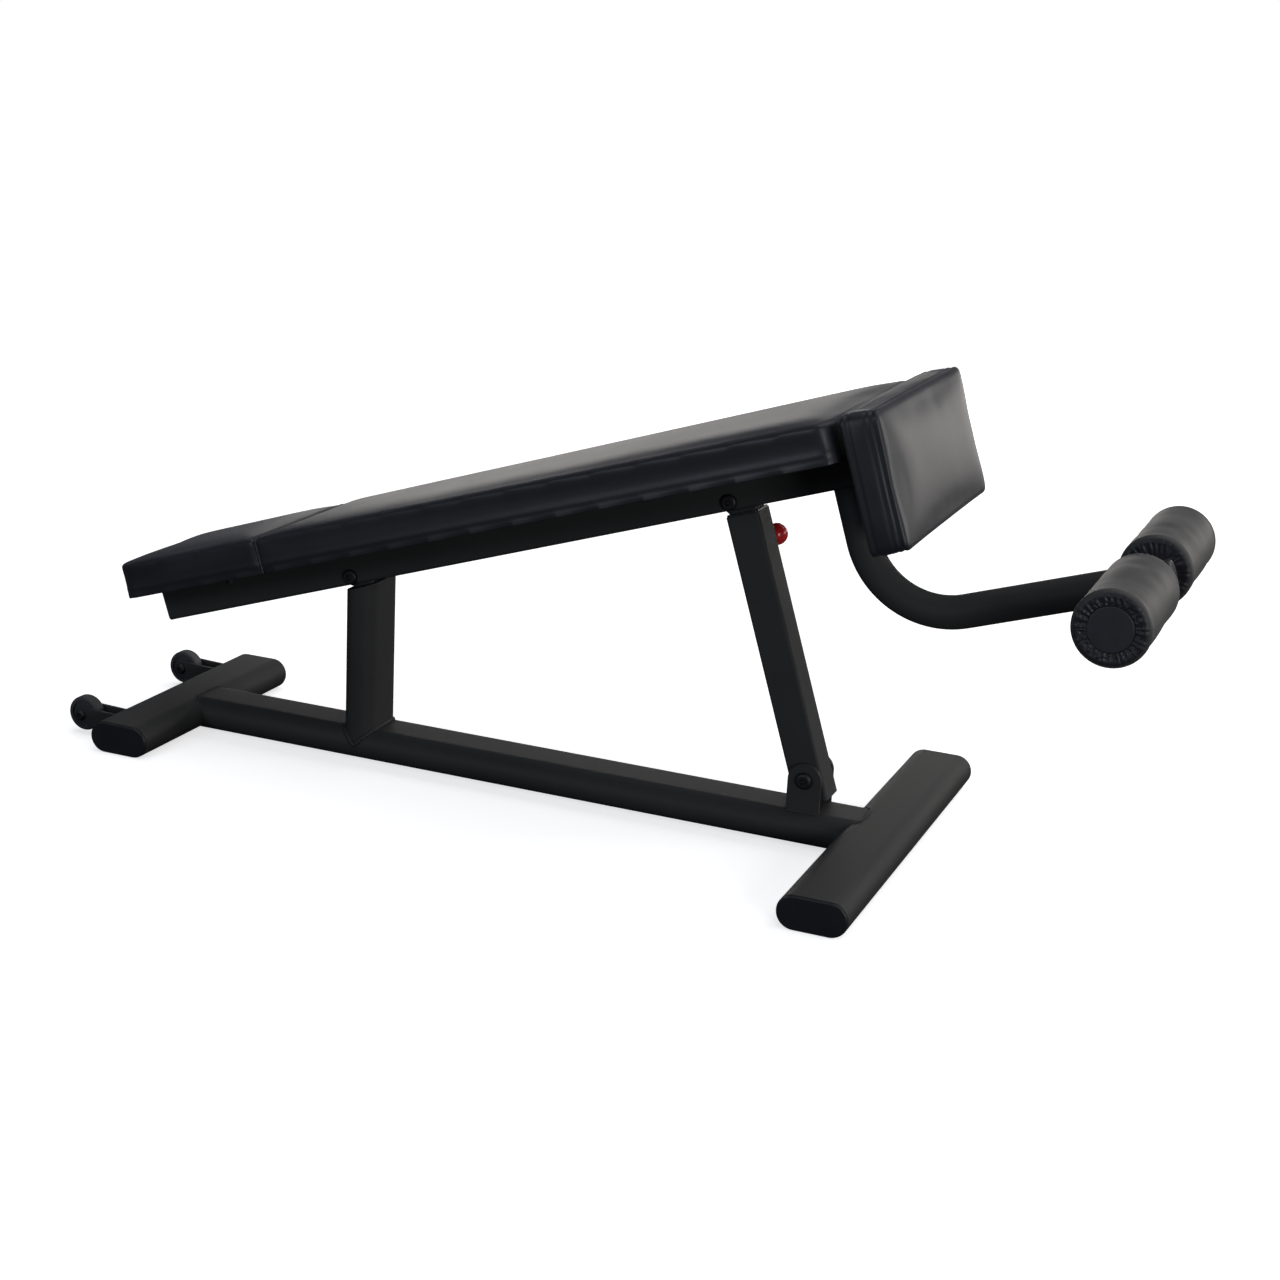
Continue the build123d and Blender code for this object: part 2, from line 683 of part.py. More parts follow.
strut_tube.part.label = "strut_tube"
export_step(strut_tube.part, "parts/strut_tube.step")

with BuildPart() as strut_foot_sleeve:
    with BuildSketch(foot_plane):
        Circle(sleeve_outer)
        Circle(foot_bolt_radius + running_gap, mode=Mode.SUBTRACT)
    extrude(amount=strut_size / 2 + 0.5, both=True)
strut_foot_sleeve.part.label = "strut_foot_sleeve"
export_step(strut_foot_sleeve.part, "parts/strut_foot_sleeve.step")

# Plastic guide in the mouth of the lower tube.
guide_depth = 34.0
guide_lip = 2.5
slide_play = 0.2
with BuildPart() as strut_guide:
    with BuildSketch(bench_top.offset(strut_top - guide_depth)):
        with Locations((strut_at, 0)):
            RectangleRounded(strut_size - 2 * strut_wall, strut_size - 2 * strut_wall, 1.5)
    extrude(amount=guide_depth)
    with BuildSketch(bench_top.offset(strut_top)):
        with Locations((strut_at, 0)):
            RectangleRounded(strut_size - 2, strut_size - 2, strut_corner)
    extrude(amount=guide_lip)
    with BuildSketch(bench_top.offset(strut_top - guide_depth)):
        with Locations((strut_at, 0)):
            RectangleRounded(inner_size + 2 * slide_play, inner_size + 2 * slide_play, 3.0)
    extrude(amount=guide_depth + guide_lip, mode=Mode.SUBTRACT)
strut_guide.part.label = "strut_guide"
export_step(strut_guide.part, "parts/strut_guide.step")

# Sprung locking pin on the strut's left-hand face: barrel, pin with its collar, spring and ball knob.
barrel_length = 34.0
barrel_end_wall = 7.0
chamber_radius = 8.0
strut_face = strut_size / 2
pin_plane = Plane(
    origin=pivot + along * strut_at + square * pin_height,
    x_dir=along,
    z_dir=(0, 1, 0),
)
with BuildPart() as pin_barrel:
    with BuildSketch(pin_plane.offset(strut_face)):
        RegularPolygon(13.0, 6, major_radius=False)
    extrude(amount=9.0)
    with BuildSketch(pin_plane.offset(strut_face)):
        Circle(11.0)
    extrude(amount=barrel_length)
    chamfer(pin_barrel.faces().sort_by(Axis.Y)[-1].edges(), length=1.5)
    with BuildSketch(pin_plane.offset(strut_face)):
        Circle(chamber_radius)
    extrude(amount=barrel_length - barrel_end_wall, mode=Mode.SUBTRACT)
    with BuildSketch(pin_plane.offset(strut_face)):
        Circle(pin_radius + 0.1)
    extrude(amount=barrel_length, mode=Mode.SUBTRACT)
pin_barrel.part.label = "pin_barrel"
export_step(pin_barrel.part, "parts/pin_barrel.step")

pin_tip = inner_size / 2 + 0.4
knob_centre = strut_face + 66.0
knob_radius = 16.5
collar_start = strut_face + 9.0
collar_thickness = 4.0
pin_end = knob_centre - 1.0
with BuildPart() as locking_pin:
    with BuildSketch(pin_plane.offset(pin_tip)):
        Circle(pin_radius)
    extrude(amount=pin_end - pin_tip)
    chamfer(locking_pin.faces().sort_by(Axis.Y)[0].edges(), length=1.5)
    with BuildSketch(pin_plane.offset(collar_start)):
        Circle(chamber_radius - 0.3)
    extrude(amount=collar_thickness)
locking_pin.part.label = "locking_pin"
export_step(locking_pin.part, "parts/locking_pin.step")

spring_start = collar_start + collar_thickness
spring_end = strut_face + barrel_length - barrel_end_wall
spring_wire = 0.6
spring_radius = 6.6
spring_turns = 5
spring_height = spring_end - spring_start - 2 * spring_wire - 0.4
with BuildPart() as pin_spring:
    with BuildLine():
        coil = Helix(
            pitch=spring_height / spring_turns,
            height=spring_height,
            radius=spring_radius,
            center=pin_plane.offset(spring_start + spring_wire + 0.2).origin,
            direction=(0, 1, 0),
        )
    with BuildSketch(Plane(origin=coil @ 0, z_dir=coil % 0)):
        Circle(spring_wire)
    sweep(is_frenet=True)
pin_spring.part.label = "pin_spring"
export_step(pin_spring.part, "parts/pin_spring.step")

knob_neck = 7.5
neck_length = 18.0
with BuildPart() as pin_knob:
    with BuildSketch(pin_plane.offset(knob_centre - neck_length)):
        Circle(knob_neck)
    extrude(amount=neck_length)
    with Locations(pin_plane.offset(knob_centre)):
        Sphere(knob_radius)
    with BuildSketch(pin_plane.offset(knob_centre - neck_length)):
        Circle(pin_radius)
    extrude(amount=pin_end - knob_centre + neck_length, mode=Mode.SUBTRACT)
pin_knob.part.label = "pin_knob"
export_step(pin_knob.part, "parts/pin_knob.step")

# ------------------------------------------------------------------ telescopic strut, inner tube
with BuildPart() as strut_inner_tube:
    with BuildSketch(bench_top.offset(inner_bottom)):
        with Locations((strut_at, 0)):
            RectangleRounded(inner_size, inner_size, 3.0)
            RectangleRounded(inner_size - 2 * inner_wall, inner_size - 2 * inner_wall, 1.0, mode=Mode.SUBTRACT)
    extrude(amount=head_base - inner_bottom)
    with BuildSketch(bench_side):
        with Locations(*[(strut_at, pin_height - setting * hole_pitch) for setting in range(settings)]):
            Circle(pin_radius + 0.4)
    extrude(amount=-strut_size, mode=Mode.SUBTRACT)
strut_inner_tube.part.label = "strut_inner_tube"
export_step(strut_inner_tube.part, "parts/strut_inner_tube.step")

# The head's bore is larger than its bolt, which gives the linkage its play.
head_bore_radius = 9.8
head_radius = 17.0
with BuildPart() as strut_head:
    with BuildSketch(bench_side):
        with Locations((upper_pivot_at, 0)):
            Circle(head_radius)
        with Locations((strut_at, head_base + 1)):
            Rectangle(inner_size, 2)
        make_hull()
        with Locations((upper_pivot_at, 0)):
            Circle(head_bore_radius, mode=Mode.SUBTRACT)
    extrude(amount=inner_size / 2, both=True)
strut_head.part.label = "strut_head"
export_step(strut_head.part, "parts/strut_head.step")
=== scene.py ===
import json
import math
import random

import bmesh
import bpy
import numpy
from mathutils import Matrix, Vector, noise


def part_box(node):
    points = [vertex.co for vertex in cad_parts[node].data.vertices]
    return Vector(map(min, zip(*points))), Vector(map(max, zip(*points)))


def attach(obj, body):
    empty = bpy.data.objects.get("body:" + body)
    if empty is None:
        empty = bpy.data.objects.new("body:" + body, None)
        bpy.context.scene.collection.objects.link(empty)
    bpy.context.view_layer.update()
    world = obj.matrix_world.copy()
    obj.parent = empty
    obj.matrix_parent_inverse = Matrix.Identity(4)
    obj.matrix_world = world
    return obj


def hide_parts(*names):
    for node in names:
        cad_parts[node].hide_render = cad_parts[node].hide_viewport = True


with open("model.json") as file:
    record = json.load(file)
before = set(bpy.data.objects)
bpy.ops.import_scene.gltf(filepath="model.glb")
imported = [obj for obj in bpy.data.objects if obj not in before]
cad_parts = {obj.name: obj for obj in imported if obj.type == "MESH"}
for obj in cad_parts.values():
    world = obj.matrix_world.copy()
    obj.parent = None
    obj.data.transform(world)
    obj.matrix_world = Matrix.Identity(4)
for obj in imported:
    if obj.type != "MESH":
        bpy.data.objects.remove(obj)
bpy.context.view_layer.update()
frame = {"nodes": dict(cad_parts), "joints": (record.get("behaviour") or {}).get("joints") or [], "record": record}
nodes = frame["nodes"]
joints = {joint["name"]: joint for joint in frame["joints"]}
MM = 0.001
# Sockets of a Mix node that mixes colours.
MIX_FIRST = 6
MIX_SECOND = 7
MIX_RESULT = 2

# ---------------------------------------------------------------- the bench's own frame
# x runs up the bench from its pivot bolt, y across it and z square to it.
pivot = Vector(joints["bench_tilt"]["pos_m"])
square = Vector(joints["strut_slide"]["axis"]).normalized()
tilt = math.atan2(-square.x, square.z)
bench_to_world = Matrix.Translation(pivot) @ Matrix.Rotation(-tilt, 4, "Y")
world_to_bench = bench_to_world.inverted()


def bench_box(*names):
    """Lowest and highest corner of CAD nodes in the bench's own frame."""
    points = [world_to_bench @ vertex.co for name in names for vertex in nodes[name].data.vertices]
    low = Vector([min(point[axis] for point in points) for axis in range(3)])
    high = Vector([max(point[axis] for point in points) for axis in range(3)])
    return low, high


# ---------------------------------------------------------------- camera
camera_place = Vector((1.205, -2.901, 1.192))
camera_azimuth = math.radians(21.43)
camera_elevation = math.radians(16.71)
camera_roll = math.radians(2.99)
camera_lens = 62.08

bpy.ops.object.select_all(action="DESELECT")
bpy.ops.object.camera_add(location=camera_place)
camera = bpy.context.object
camera.data.lens = camera_lens
camera.data.sensor_width = 36.0
camera.rotation_mode = "XYZ"
look = Matrix.Rotation(camera_azimuth, 4, "Z") @ Matrix.Rotation(math.pi / 2 - camera_elevation, 4, "X")
camera.rotation_euler = (look @ Matrix.Rotation(camera_roll, 4, "Z")).to_euler("XYZ")
camera.data.clip_end = 60.0
bpy.context.scene.camera = camera
bpy.context.scene.view_settings.view_transform = "Standard"


# ---------------------------------------------------------------- shader expressions
class Value:
    """A node socket that adds and multiplies as a number."""

    def __init__(self, shader, socket):
        self.shader = shader
        self.socket = socket

    def _math(self, operation, first, second):
        return self.shader.node("ShaderNodeMath", {"operation": operation}, {0: first, 1: second})

    def __add__(self, other):
        return self._math("ADD", self, other)

    def __radd__(self, other):
        return self._math("ADD", other, self)

    def __mul__(self, other):
        return self._math("MULTIPLY", self, other)

    def __rmul__(self, other):
        return self._math("MULTIPLY", other, self)


class Shader:
    """One material and the nodes that it is made of."""

    def __init__(self, name):
        self.material = bpy.data.materials.new(name)
        self.material.use_nodes = True
        self.tree = self.material.node_tree
        self.principled = self.tree.nodes["Principled BSDF"]
        place = self.tree.nodes.new("ShaderNodeTexCoord")
        self.place = Value(self, place.outputs["Object"])

    def link(self, value, socket):
        """Links a node's output to a socket, or sets a plain value on it."""
        if isinstance(value, Value):
            self.tree.links.new(value.socket, socket)
        else:
            socket.default_value = value

    def node(self, kind, settings=None, inputs=None, output=0):
        """A node with its settings made first, then its sockets' values or links."""
        made = self.tree.nodes.new(kind)
        for name, value in (settings or {}).items():
            if name == "stops":
                ramp = made.color_ramp
                while len(ramp.elements) < len(value):
                    ramp.elements.new(0.5)
                for element, (position, level) in zip(ramp.elements, value):
                    element.position = position
                    element.color = (level, level, level, 1.0)
            else:
                setattr(made, name, value)
        for name, value in (inputs or {}).items():
            self.link(value, made.inputs[name])
        return Value(self, made.outputs[output])

    def turned(self, scale, rotation=(0.0, 0.0, 0.0)):
        """The piece's own coordinates, scaled and turned."""
        return self.node(
            "ShaderNodeMapping", {}, {"Vector": self.place, "Scale": scale, "Rotation": rotation}
        )

    def noise(self, scale, detail=2.0, roughness=0.5, vector=None):
        return self.node(
            "ShaderNodeTexNoise",
            {"normalize": True},
            {"Vector": vector or self.place, "Scale": scale, "Detail": detail, "Roughness": roughness},
        )

    def pebbles(self, scale):
        """Soft rounded cells, as on leather grain."""
        return self.node(
            "ShaderNodeTexVoronoi", {"feature": "SMOOTH_F1"}, {"Vector": self.place, "Scale": scale}
        )

    def ramp(self, value, *stops):
        return self.node("ShaderNodeValToRGB", {"stops": stops}, {"Fac": value})

    def mix(self, factor, first, second):
        return self.node(
            "ShaderNodeMix",
            {"data_type": "RGBA"},
            {"Factor": factor, MIX_FIRST: (*first, 1.0), MIX_SECOND: (*second, 1.0)},
            output=MIX_RESULT,
        )

    def bump(self, height, distance, strength=1.0, normal=None):
        inputs = {"Height": height, "Distance": distance, "Strength": strength}
        if normal is not None:
            inputs["Normal"] = normal
        return self.node("ShaderNodeBump", {}, inputs)

    def soft_edges(self, radius):
        """A normal that rounds a piece's sharp edges."""
        return self.node("ShaderNodeBevel", {"samples": 4}, {"Radius": radius})

    def surface(self, **values):
        """Sets the finish's own sockets, each by its name with _ for a space."""
        for name, value in values.items():
            socket = self.principled.inputs[name.replace("_", " ")]
            self.link(value, socket)
        return self.material


# ---------------------------------------------------------------- finishes
def shade(tone, share):
    """A colour made darker or lighter by a share."""
    return tuple(share * part for part in tone)


def powder_coat(name, tone):
    """Satin black powder coat with faint clouds of colour and a fine orange peel."""
    paint = Shader(name)
    clouds = paint.noise(scale=9.0, detail=3.0)
    peel = paint.noise(scale=900.0, detail=2.0, roughness=0.6)
    colour = paint.mix(clouds, shade(tone, 0.85), shade(tone, 1.2))
    edges = paint.soft_edges(0.9 * MM)
    return paint.surface(
        Base_Color=colour,
        Roughness=0.54 + 0.08 * clouds + 0.05 * peel,
        Normal=paint.bump(peel, 0.1 * MM, 0.35, edges),
        Specular_IOR_Level=0.2,
    )


def moulded_plastic(name, tone, rough):
    """Moulded black plastic with a fine spark-eroded grain."""
    plastic = Shader(name)
    grain_height = plastic.noise(scale=1400.0, detail=3.0, roughness=0.7)
    scuffs = plastic.noise(scale=45.0, detail=4.0, roughness=0.6)
    colour = plastic.mix(scuffs, shade(tone, 0.8), shade(tone, 1.25))
    return plastic.surface(
        Base_Color=colour,
        Roughness=rough + 0.12 * scuffs,
        Normal=plastic.bump(grain_height, 0.08 * MM, 0.5, plastic.soft_edges(0.6 * MM)),
        Specular_IOR_Level=0.4,
    )


def vinyl(name, tone, rough, crease_scale, crease_depth):
    """Upholstery vinyl: fine leather grain over long soft creases."""
    skin = Shader(name)
    pebbles = skin.pebbles(620.0)
    pores = skin.noise(scale=1500.0, detail=2.0, roughness=0.6)
    grain = pebbles * 0.7 + pores * 0.3
    creases = skin.noise(scale=crease_scale, detail=4.0, roughness=0.55)
    wear = skin.noise(scale=5.0, detail=3.0, roughness=0.6)
    colour = skin.mix(wear, shade(tone, 0.85), shade(tone, 1.25))
    folds = skin.bump(creases, crease_depth, 0.6)
    return skin.surface(
        Base_Color=colour,
        Roughness=rough + 0.12 * wear + 0.08 * grain,
        Normal=skin.bump(grain, 0.12 * MM, 0.45, folds),
        Specular_IOR_Level=0.5,
        Sheen_Weight=0.06,
        Sheen_Roughness=0.5,
    )


def steel(name, tone, rough, metallic=1.0):
    """Plated or blackened steel with faint turning marks."""
    metal = Shader(name)
    marks = metal.noise(scale=260.0, detail=3.0, roughness=0.6, vector=metal.turned(scale=(1.0, 8.0, 1.0)))
    patches = metal.noise(scale=40.0, detail=3.0)
    colour = metal.mix(patches, shade(tone, 0.8), tone)
    return metal.surface(
        Base_Color=colour,
        Metallic=metallic,
        Roughness=rough + 0.12 * marks + 0.08 * patches,
        Normal=metal.bump(marks, 0.04 * MM, 0.4, metal.soft_edges(0.4 * MM)),
    )


def plywood(name):
    """Birch board with long grain and fine fibres that run up the bench."""
    board = Shader(name)
    lean = (0.0, -tilt, 0.0)
    grain_run = board.turned(scale=(0.25, 2.5, 2.5), rotation=lean)
    fibre_run = board.turned(scale=(0.1, 1.0, 1.0), rotation=lean)
    grain = board.noise(scale=60.0, detail=5.0, roughness=0.6, vector=grain_run)
    fibres = board.noise(scale=500.0, detail=2.0, roughness=0.5, vector=fibre_run)
    figure = board.ramp(grain * 0.75 + fibres * 0.25, (0.3, 0.0), (0.7, 1.0))
    colour = board.mix(figure, (0.30, 0.19, 0.10), (0.52, 0.38, 0.23))
    return board.surface(
        Base_Color=colour,
        Roughness=0.62 + 0.15 * fibres,
        Normal=board.bump(fibres, 0.15 * MM, 0.4),
    )


def knob_plastic(name):
    """Bright red moulded ball knob."""
    plastic = Shader(name)
    swirl = plastic.noise(scale=60.0, detail=2.0)
    colour = plastic.mix(swirl, (0.62, 0.014, 0.018), (0.74, 0.026, 0.030))
    return plastic.surface(
        Base_Color=colour,
        Roughness=0.22 + 0.1 * swirl,
        Normal=plastic.bump(plastic.noise(900.0), 0.03 * MM, 0.3),
        Coat_Weight=0.3,
        Coat_Roughness=0.15,
    )


def wheel_rubber(name):
    """Grey-black moulded wheel tread, dusty where it rolls."""
    tread = Shader(name)
    dust = tread.noise(scale=70.0, detail=4.0, roughness=0.65)
    colour = tread.mix(dust, (0.020, 0.020, 0.022), (0.060, 0.060, 0.064))
    return tread.surface(
        Base_Color=colour,
        Roughness=0.5 + 0.2 * dust,
        Normal=tread.bump(tread.noise(scale=1100.0, detail=3.0), 0.1 * MM, 0.5, tread.soft_edges(0.5 * MM)),
    )


frame_paint = powder_coat("frame_paint", (0.0320, 0.0327, 0.0325))
tube_paint = powder_coat("inner_tube_paint", (0.028, 0.028, 0.029))
cap_plastic = moulded_plastic("cap_plastic", (0.010, 0.0105, 0.0135), 0.36)
roller_disc_plastic = moulded_plastic("roller_disc_plastic", (0.022, 0.023, 0.029), 0.42)
pad_vinyl = vinyl("pad_vinyl", (0.0085, 0.0092, 0.0135), 0.37, 14.0, 0.5 * MM)
roller_vinyl = vinyl("roller_vinyl", (0.032, 0.0310, 0.0295), 0.47, 30.0, 0.5 * MM)
# A darker, bluer copy of the vinyl: painted shade on the rollers' ends, and on the seam welt.
shaded_vinyl = vinyl("shaded_vinyl", (0.0075, 0.0075, 0.0130), 0.40, 90.0, 0.6 * MM)
black_steel = steel("black_steel", (0.006, 0.006, 0.007), 0.38, 0.0)
zinc_steel = steel("zinc_steel", (0.55, 0.56, 0.58), 0.26)
board_wood = plywood("board_wood")
knob_red = knob_plastic("knob_red")
tread_rubber = wheel_rubber("tread_rubber")

slot_finish = {
    "frame_paint": frame_paint,
    "inner_tube_paint": tube_paint,
    "black_plastic": cap_plastic,
    "roller_plastic": roller_disc_plastic,
    "wheel_plastic": tread_rubber,
    "pivot_hardware": black_steel,
    "zinc_steel": zinc_steel,
    "plywood": board_wood,
    "pad_vinyl": pad_vinyl,
    "roller_vinyl": roller_vinyl,
    "red_knob": knob_red,
}
for subpart in frame["record"]["subparts"]:
    node = nodes[subpart["node"]]
    finish = slot_finish[subpart["material_slot"]]
    if not node.material_slots:
        node.data.materials.append(finish)
    for material_slot in node.material_slots:
        material_slot.material = finish

# The pads' screws are darker than the rest of the zinc.
dark_zinc = steel("dark_zinc", (0.045, 0.045, 0.048), 0.34, 0.8)
for name in ("back_pad_screws", "thigh_pad_screws"):
    for material_slot in nodes[name].material_slots:
        material_slot.material = dark_zinc


# ---------------------------------------------------------------- modelling helpers
def only(piece):
    """Makes this object the one that is selected and active."""
    bpy.ops.object.select_all(action="DESELECT")
    piece.select_set(True)
    bpy.context.view_layer.objects.active = piece


def apply_modifier(piece, kind, **settings):
    """Adds a modifier with its settings and applies it at once."""
    only(piece)
    modifier = piece.modifiers.new(kind.lower(), kind)
    for name, value in settings.items():
        setattr(modifier, name, value)
    bpy.ops.object.modifier_apply(modifier=modifier.name)


def settle(piece, matrix=None):
    """Moves a piece by a matrix, then puts its place into its mesh."""
    only(piece)
    if matrix is not None:
        piece.matrix_world = matrix @ piece.matrix_world
    bpy.ops.object.transform_apply(location=True, rotation=True, scale=True)


def add_piece(piece, name, body, finish, replaced=()):
    """Names a finished piece, gives it its finish and makes it ride on its body."""
    piece.name = name
    piece.data.name = name
    piece.data.materials.clear()
    piece.data.materials.append(finish)
    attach(piece, body)
    if replaced:
        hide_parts(*replaced)


def smooth(piece, angle):
    """Smooth shading, except over edges sharper than an angle in degrees."""
    only(piece)
    bpy.ops.object.shade_smooth_by_angle(angle=math.radians(angle))


def select_where(mesh_edit, elements, test):
    """Selects the faces or edges that pass a test, and nothing else."""
    for sequence in (mesh_edit.verts, mesh_edit.edges, mesh_edit.faces):
        for element in sequence:
            element.select = False
    for element in elements:
        if test(element):
            element.select_set(True)
    mesh_edit.select_flush_mode()


def mesh_piece(name, build):
    """A new object from a finished bmesh, with its faces turned outwards."""
    bmesh.ops.recalc_face_normals(build, faces=build.faces)
    mesh = bpy.data.meshes.new(name)
    build.to_mesh(mesh)
    build.free()
    piece = bpy.data.objects.new(name, mesh)
    bpy.context.scene.collection.objects.link(piece)
    return piece


def join_rings(build, rings):
    """Faces between each ring of points and the next."""
    for first, second in zip(rings, rings[1:]):
        for index in range(len(first)):
            after = (index + 1) % len(first)
            build.faces.new((first[index], first[after], second[after], second[index]))


def close_ends(build, rings):
    """One face over the first ring and one over the last."""
    build.faces.new(rings[0][::-1])
    build.faces.new(rings[-1])


def world_point(x, y, z):
    """A point of the bench's own frame, in the world's."""
    return bench_to_world @ Vector((x, y, z))


def world_heading(direction):
    """A direction of the bench's own frame, in the world's."""
    return (bench_to_world.to_3x3() @ Vector(direction)).normalized()


def evenly(reach, pitch):
    """Even places from -reach to reach, about a pitch apart."""
    count = int(2 * reach / pitch)
    return [-reach + 2 * reach * index / count for index in range(count + 1)]


# ---------------------------------------------------------------- cushions
# A blank starts inside the space that it swells into, and wraps a little under its board.
skin_start = 1.5 * MM
under_cover = 1.0 * MM
# A point on an edge may move this far, and one this far from every edge by the whole crown.
edge_travel = 0.7 * MM
soft_margin = 90 * MM
cloth_voxel = 5.0 * MM
cloth_pressure = 4.0
cloth_frames = 20
calming_rounds = 14
calming_own = 0.4
calming_neighbours = 0.6
cover_angle = 60


def edge_distance(point, low, high, half_width):
    """Distance of a point on a box-like cushion from the nearest edge of its face."""
    gaps = (
        min(point.x - low.x, high.x - point.x),
        half_width(point.x) - abs(point.y),
        min(point.z - low.z, high.z - point.z),
    )
    return max(0.0, sorted(gaps)[1])


def calmed(piece, travels):
    """The swelling with its finest wrinkles averaged out over neighbouring points."""
    values = numpy.array(travels)
    ends = numpy.array([tuple(edge.vertices) for edge in piece.data.edges])
    count = numpy.bincount(ends.ravel(), minlength=len(values)).reshape(-1, 1)
    for _ in range(calming_rounds):
        total = numpy.zeros_like(values)
        for axis in range(3):
            total[:, axis] += numpy.bincount(ends[:, 0], values[ends[:, 1], axis], len(values))
            total[:, axis] += numpy.bincount(ends[:, 1], values[ends[:, 0], axis], len(values))
        values = calming_own * values + calming_neighbours * total / count
    return values


def swell(piece, held):
    """Simulates the cover as cloth with pressure inside and its held points fixed."""
    group = piece.vertex_groups.new(name="held")
    group.add([vertex.index for vertex in piece.data.vertices if held(vertex.co)], 1.0, "REPLACE")
    only(piece)
    cloth = piece.modifiers.new("cloth", "CLOTH")
    cloth.settings.quality = 5
    cloth.settings.mass = 0.3
    cloth.settings.tension_stiffness = 25.0
    cloth.settings.compression_stiffness = 25.0
    cloth.settings.shear_stiffness = 12.0
    cloth.settings.bending_stiffness = 4.0
    cloth.settings.vertex_group_mass = "held"
    cloth.settings.use_pressure = True
    cloth.settings.uniform_pressure_force = cloth_pressure
    cloth.settings.effector_weights.gravity = 0.0
    cloth.collision_settings.use_collision = False
    cloth.point_cache.frame_start = 1
    cloth.point_cache.frame_end = cloth_frames
    scene = bpy.context.scene
    for step in range(1, cloth_frames + 1):
        scene.frame_set(step)
    bpy.ops.object.modifier_apply(modifier="cloth")
    scene.frame_set(1)
    piece.vertex_groups.clear()


def inflate(piece, low, high, half_width, crown, held):
    """Remeshes a blank and swells it; a point may move by the crown, and less towards an edge."""
    apply_modifier(piece, "REMESH", mode="VOXEL", voxel_size=cloth_voxel, use_smooth_shade=True)
    start = [vertex.co.copy() for vertex in piece.data.vertices]
    swell(piece, held)
    travels = []
    for vertex, before in zip(piece.data.vertices, start):
        travel = vertex.co - before
        share = min(1.0, edge_distance(before, low, high, half_width) / soft_margin)
        limit = edge_travel + (crown - edge_travel) * share * (2.0 - share)
        if travel.length > limit:
            travel = travel.normalized() * limit
        travels.append(travel)
    for vertex, before, travel in zip(piece.data.vertices, start, calmed(piece, travels)):
        vertex.co = before + Vector(travel)
    apply_modifier(piece, "SMOOTH", factor=0.5, iterations=1)
    apply_modifier(piece, "SUBSURF", levels=1, render_levels=1)


def shape_points(piece, change):
    """Moves each vertex by a rule of its place, in the bench's frame."""
    for vertex in piece.data.vertices:
        vertex.co = change(vertex.co.copy())
    piece.data.update()


def ridge(distance, width):
    """A smooth bump of height 1 that dies away at about its width."""
    return math.exp(-((distance / width) ** 2))


# Back and head cushions, which taper together from the seat end to the head end.
head_low, head_high = bench_box("head_pad")
back_low, back_high = bench_box("back_pad")
tip_half_width = 120 * MM
seat_half_width = back_high.y
taper = (seat_half_width - tip_half_width) / (back_high.x - head_low.x)
pad_corner = 30 * MM
pad_rim = 5 * MM
pad_crown = 7.0 * MM
seam_gap = 0.2 * MM
# Depths of the draw and its puckers are in millimetres; the shoulder is the slack beside the seam.
seam_draw = 2.6
seam_pucker = 0.8
seam_width = 4.0 * MM
pucker_scale = 55
pucker_seed = 9
shoulder_depth = 0.6 * MM
shoulder_place = 9 * MM
shoulder_width = 12 * MM
board_line_height = 13 * MM
board_line_depth = 0.7 * MM
board_line_width = 4.0 * MM
turn_under_depth = 1.2 * MM
turn_under_width = 5.0 * MM


def half_width_at(along):
    """Half the width of the long pad at a place along it."""
    return tip_half_width + taper * (along - head_low.x)


def long_blank(low, high, corner_end):
    """A tapered block in the bench's frame, its corners at one end and its upper rim rounded."""
    bpy.ops.object.select_all(action="DESELECT")
    size = high - low
    rear_half_width = half_width_at(low.x) - skin_start
    front_half_width = half_width_at(high.x) - skin_start
    bpy.ops.mesh.primitive_cube_add(
        size=1.0, location=(low + high) / 2, scale=(size.x, 2 * front_half_width, size.z)
    )
    blank = bpy.context.object
    settle(blank)
    bpy.ops.object.mode_set(mode="EDIT")
    edit = bmesh.from_edit_mesh(blank.data)
    select_where(edit, edit.faces, lambda face: face.normal.x < -0.9)
    bpy.ops.transform.resize(value=(1.0, rear_half_width / front_half_width, 1.0))
    bpy.ops.mesh.select_mode(type="EDGE")
    edit = bmesh.from_edit_mesh(blank.data)
    at_corner = low.x if corner_end == "rear" else high.x

    def upright(edge):
        first, second = (vertex.co for vertex in edge.verts)
        return abs(first.x - at_corner) < 1 * MM and abs(first.z - second.z) > 0.9 * size.z

    select_where(edit, edit.edges, upright)
    bpy.ops.mesh.bevel(offset=pad_corner, segments=6, affect="EDGES")
    edit = bmesh.from_edit_mesh(blank.data)
    rim_height = high.z - 0.1 * MM
    select_where(edit, edit.edges, lambda edge: all(vertex.co.z > rim_height for vertex in edge.verts))
    bpy.ops.mesh.bevel(offset=pad_rim, segments=4, affect="EDGES")
    bpy.ops.object.mode_set(mode="OBJECT")
    return blank


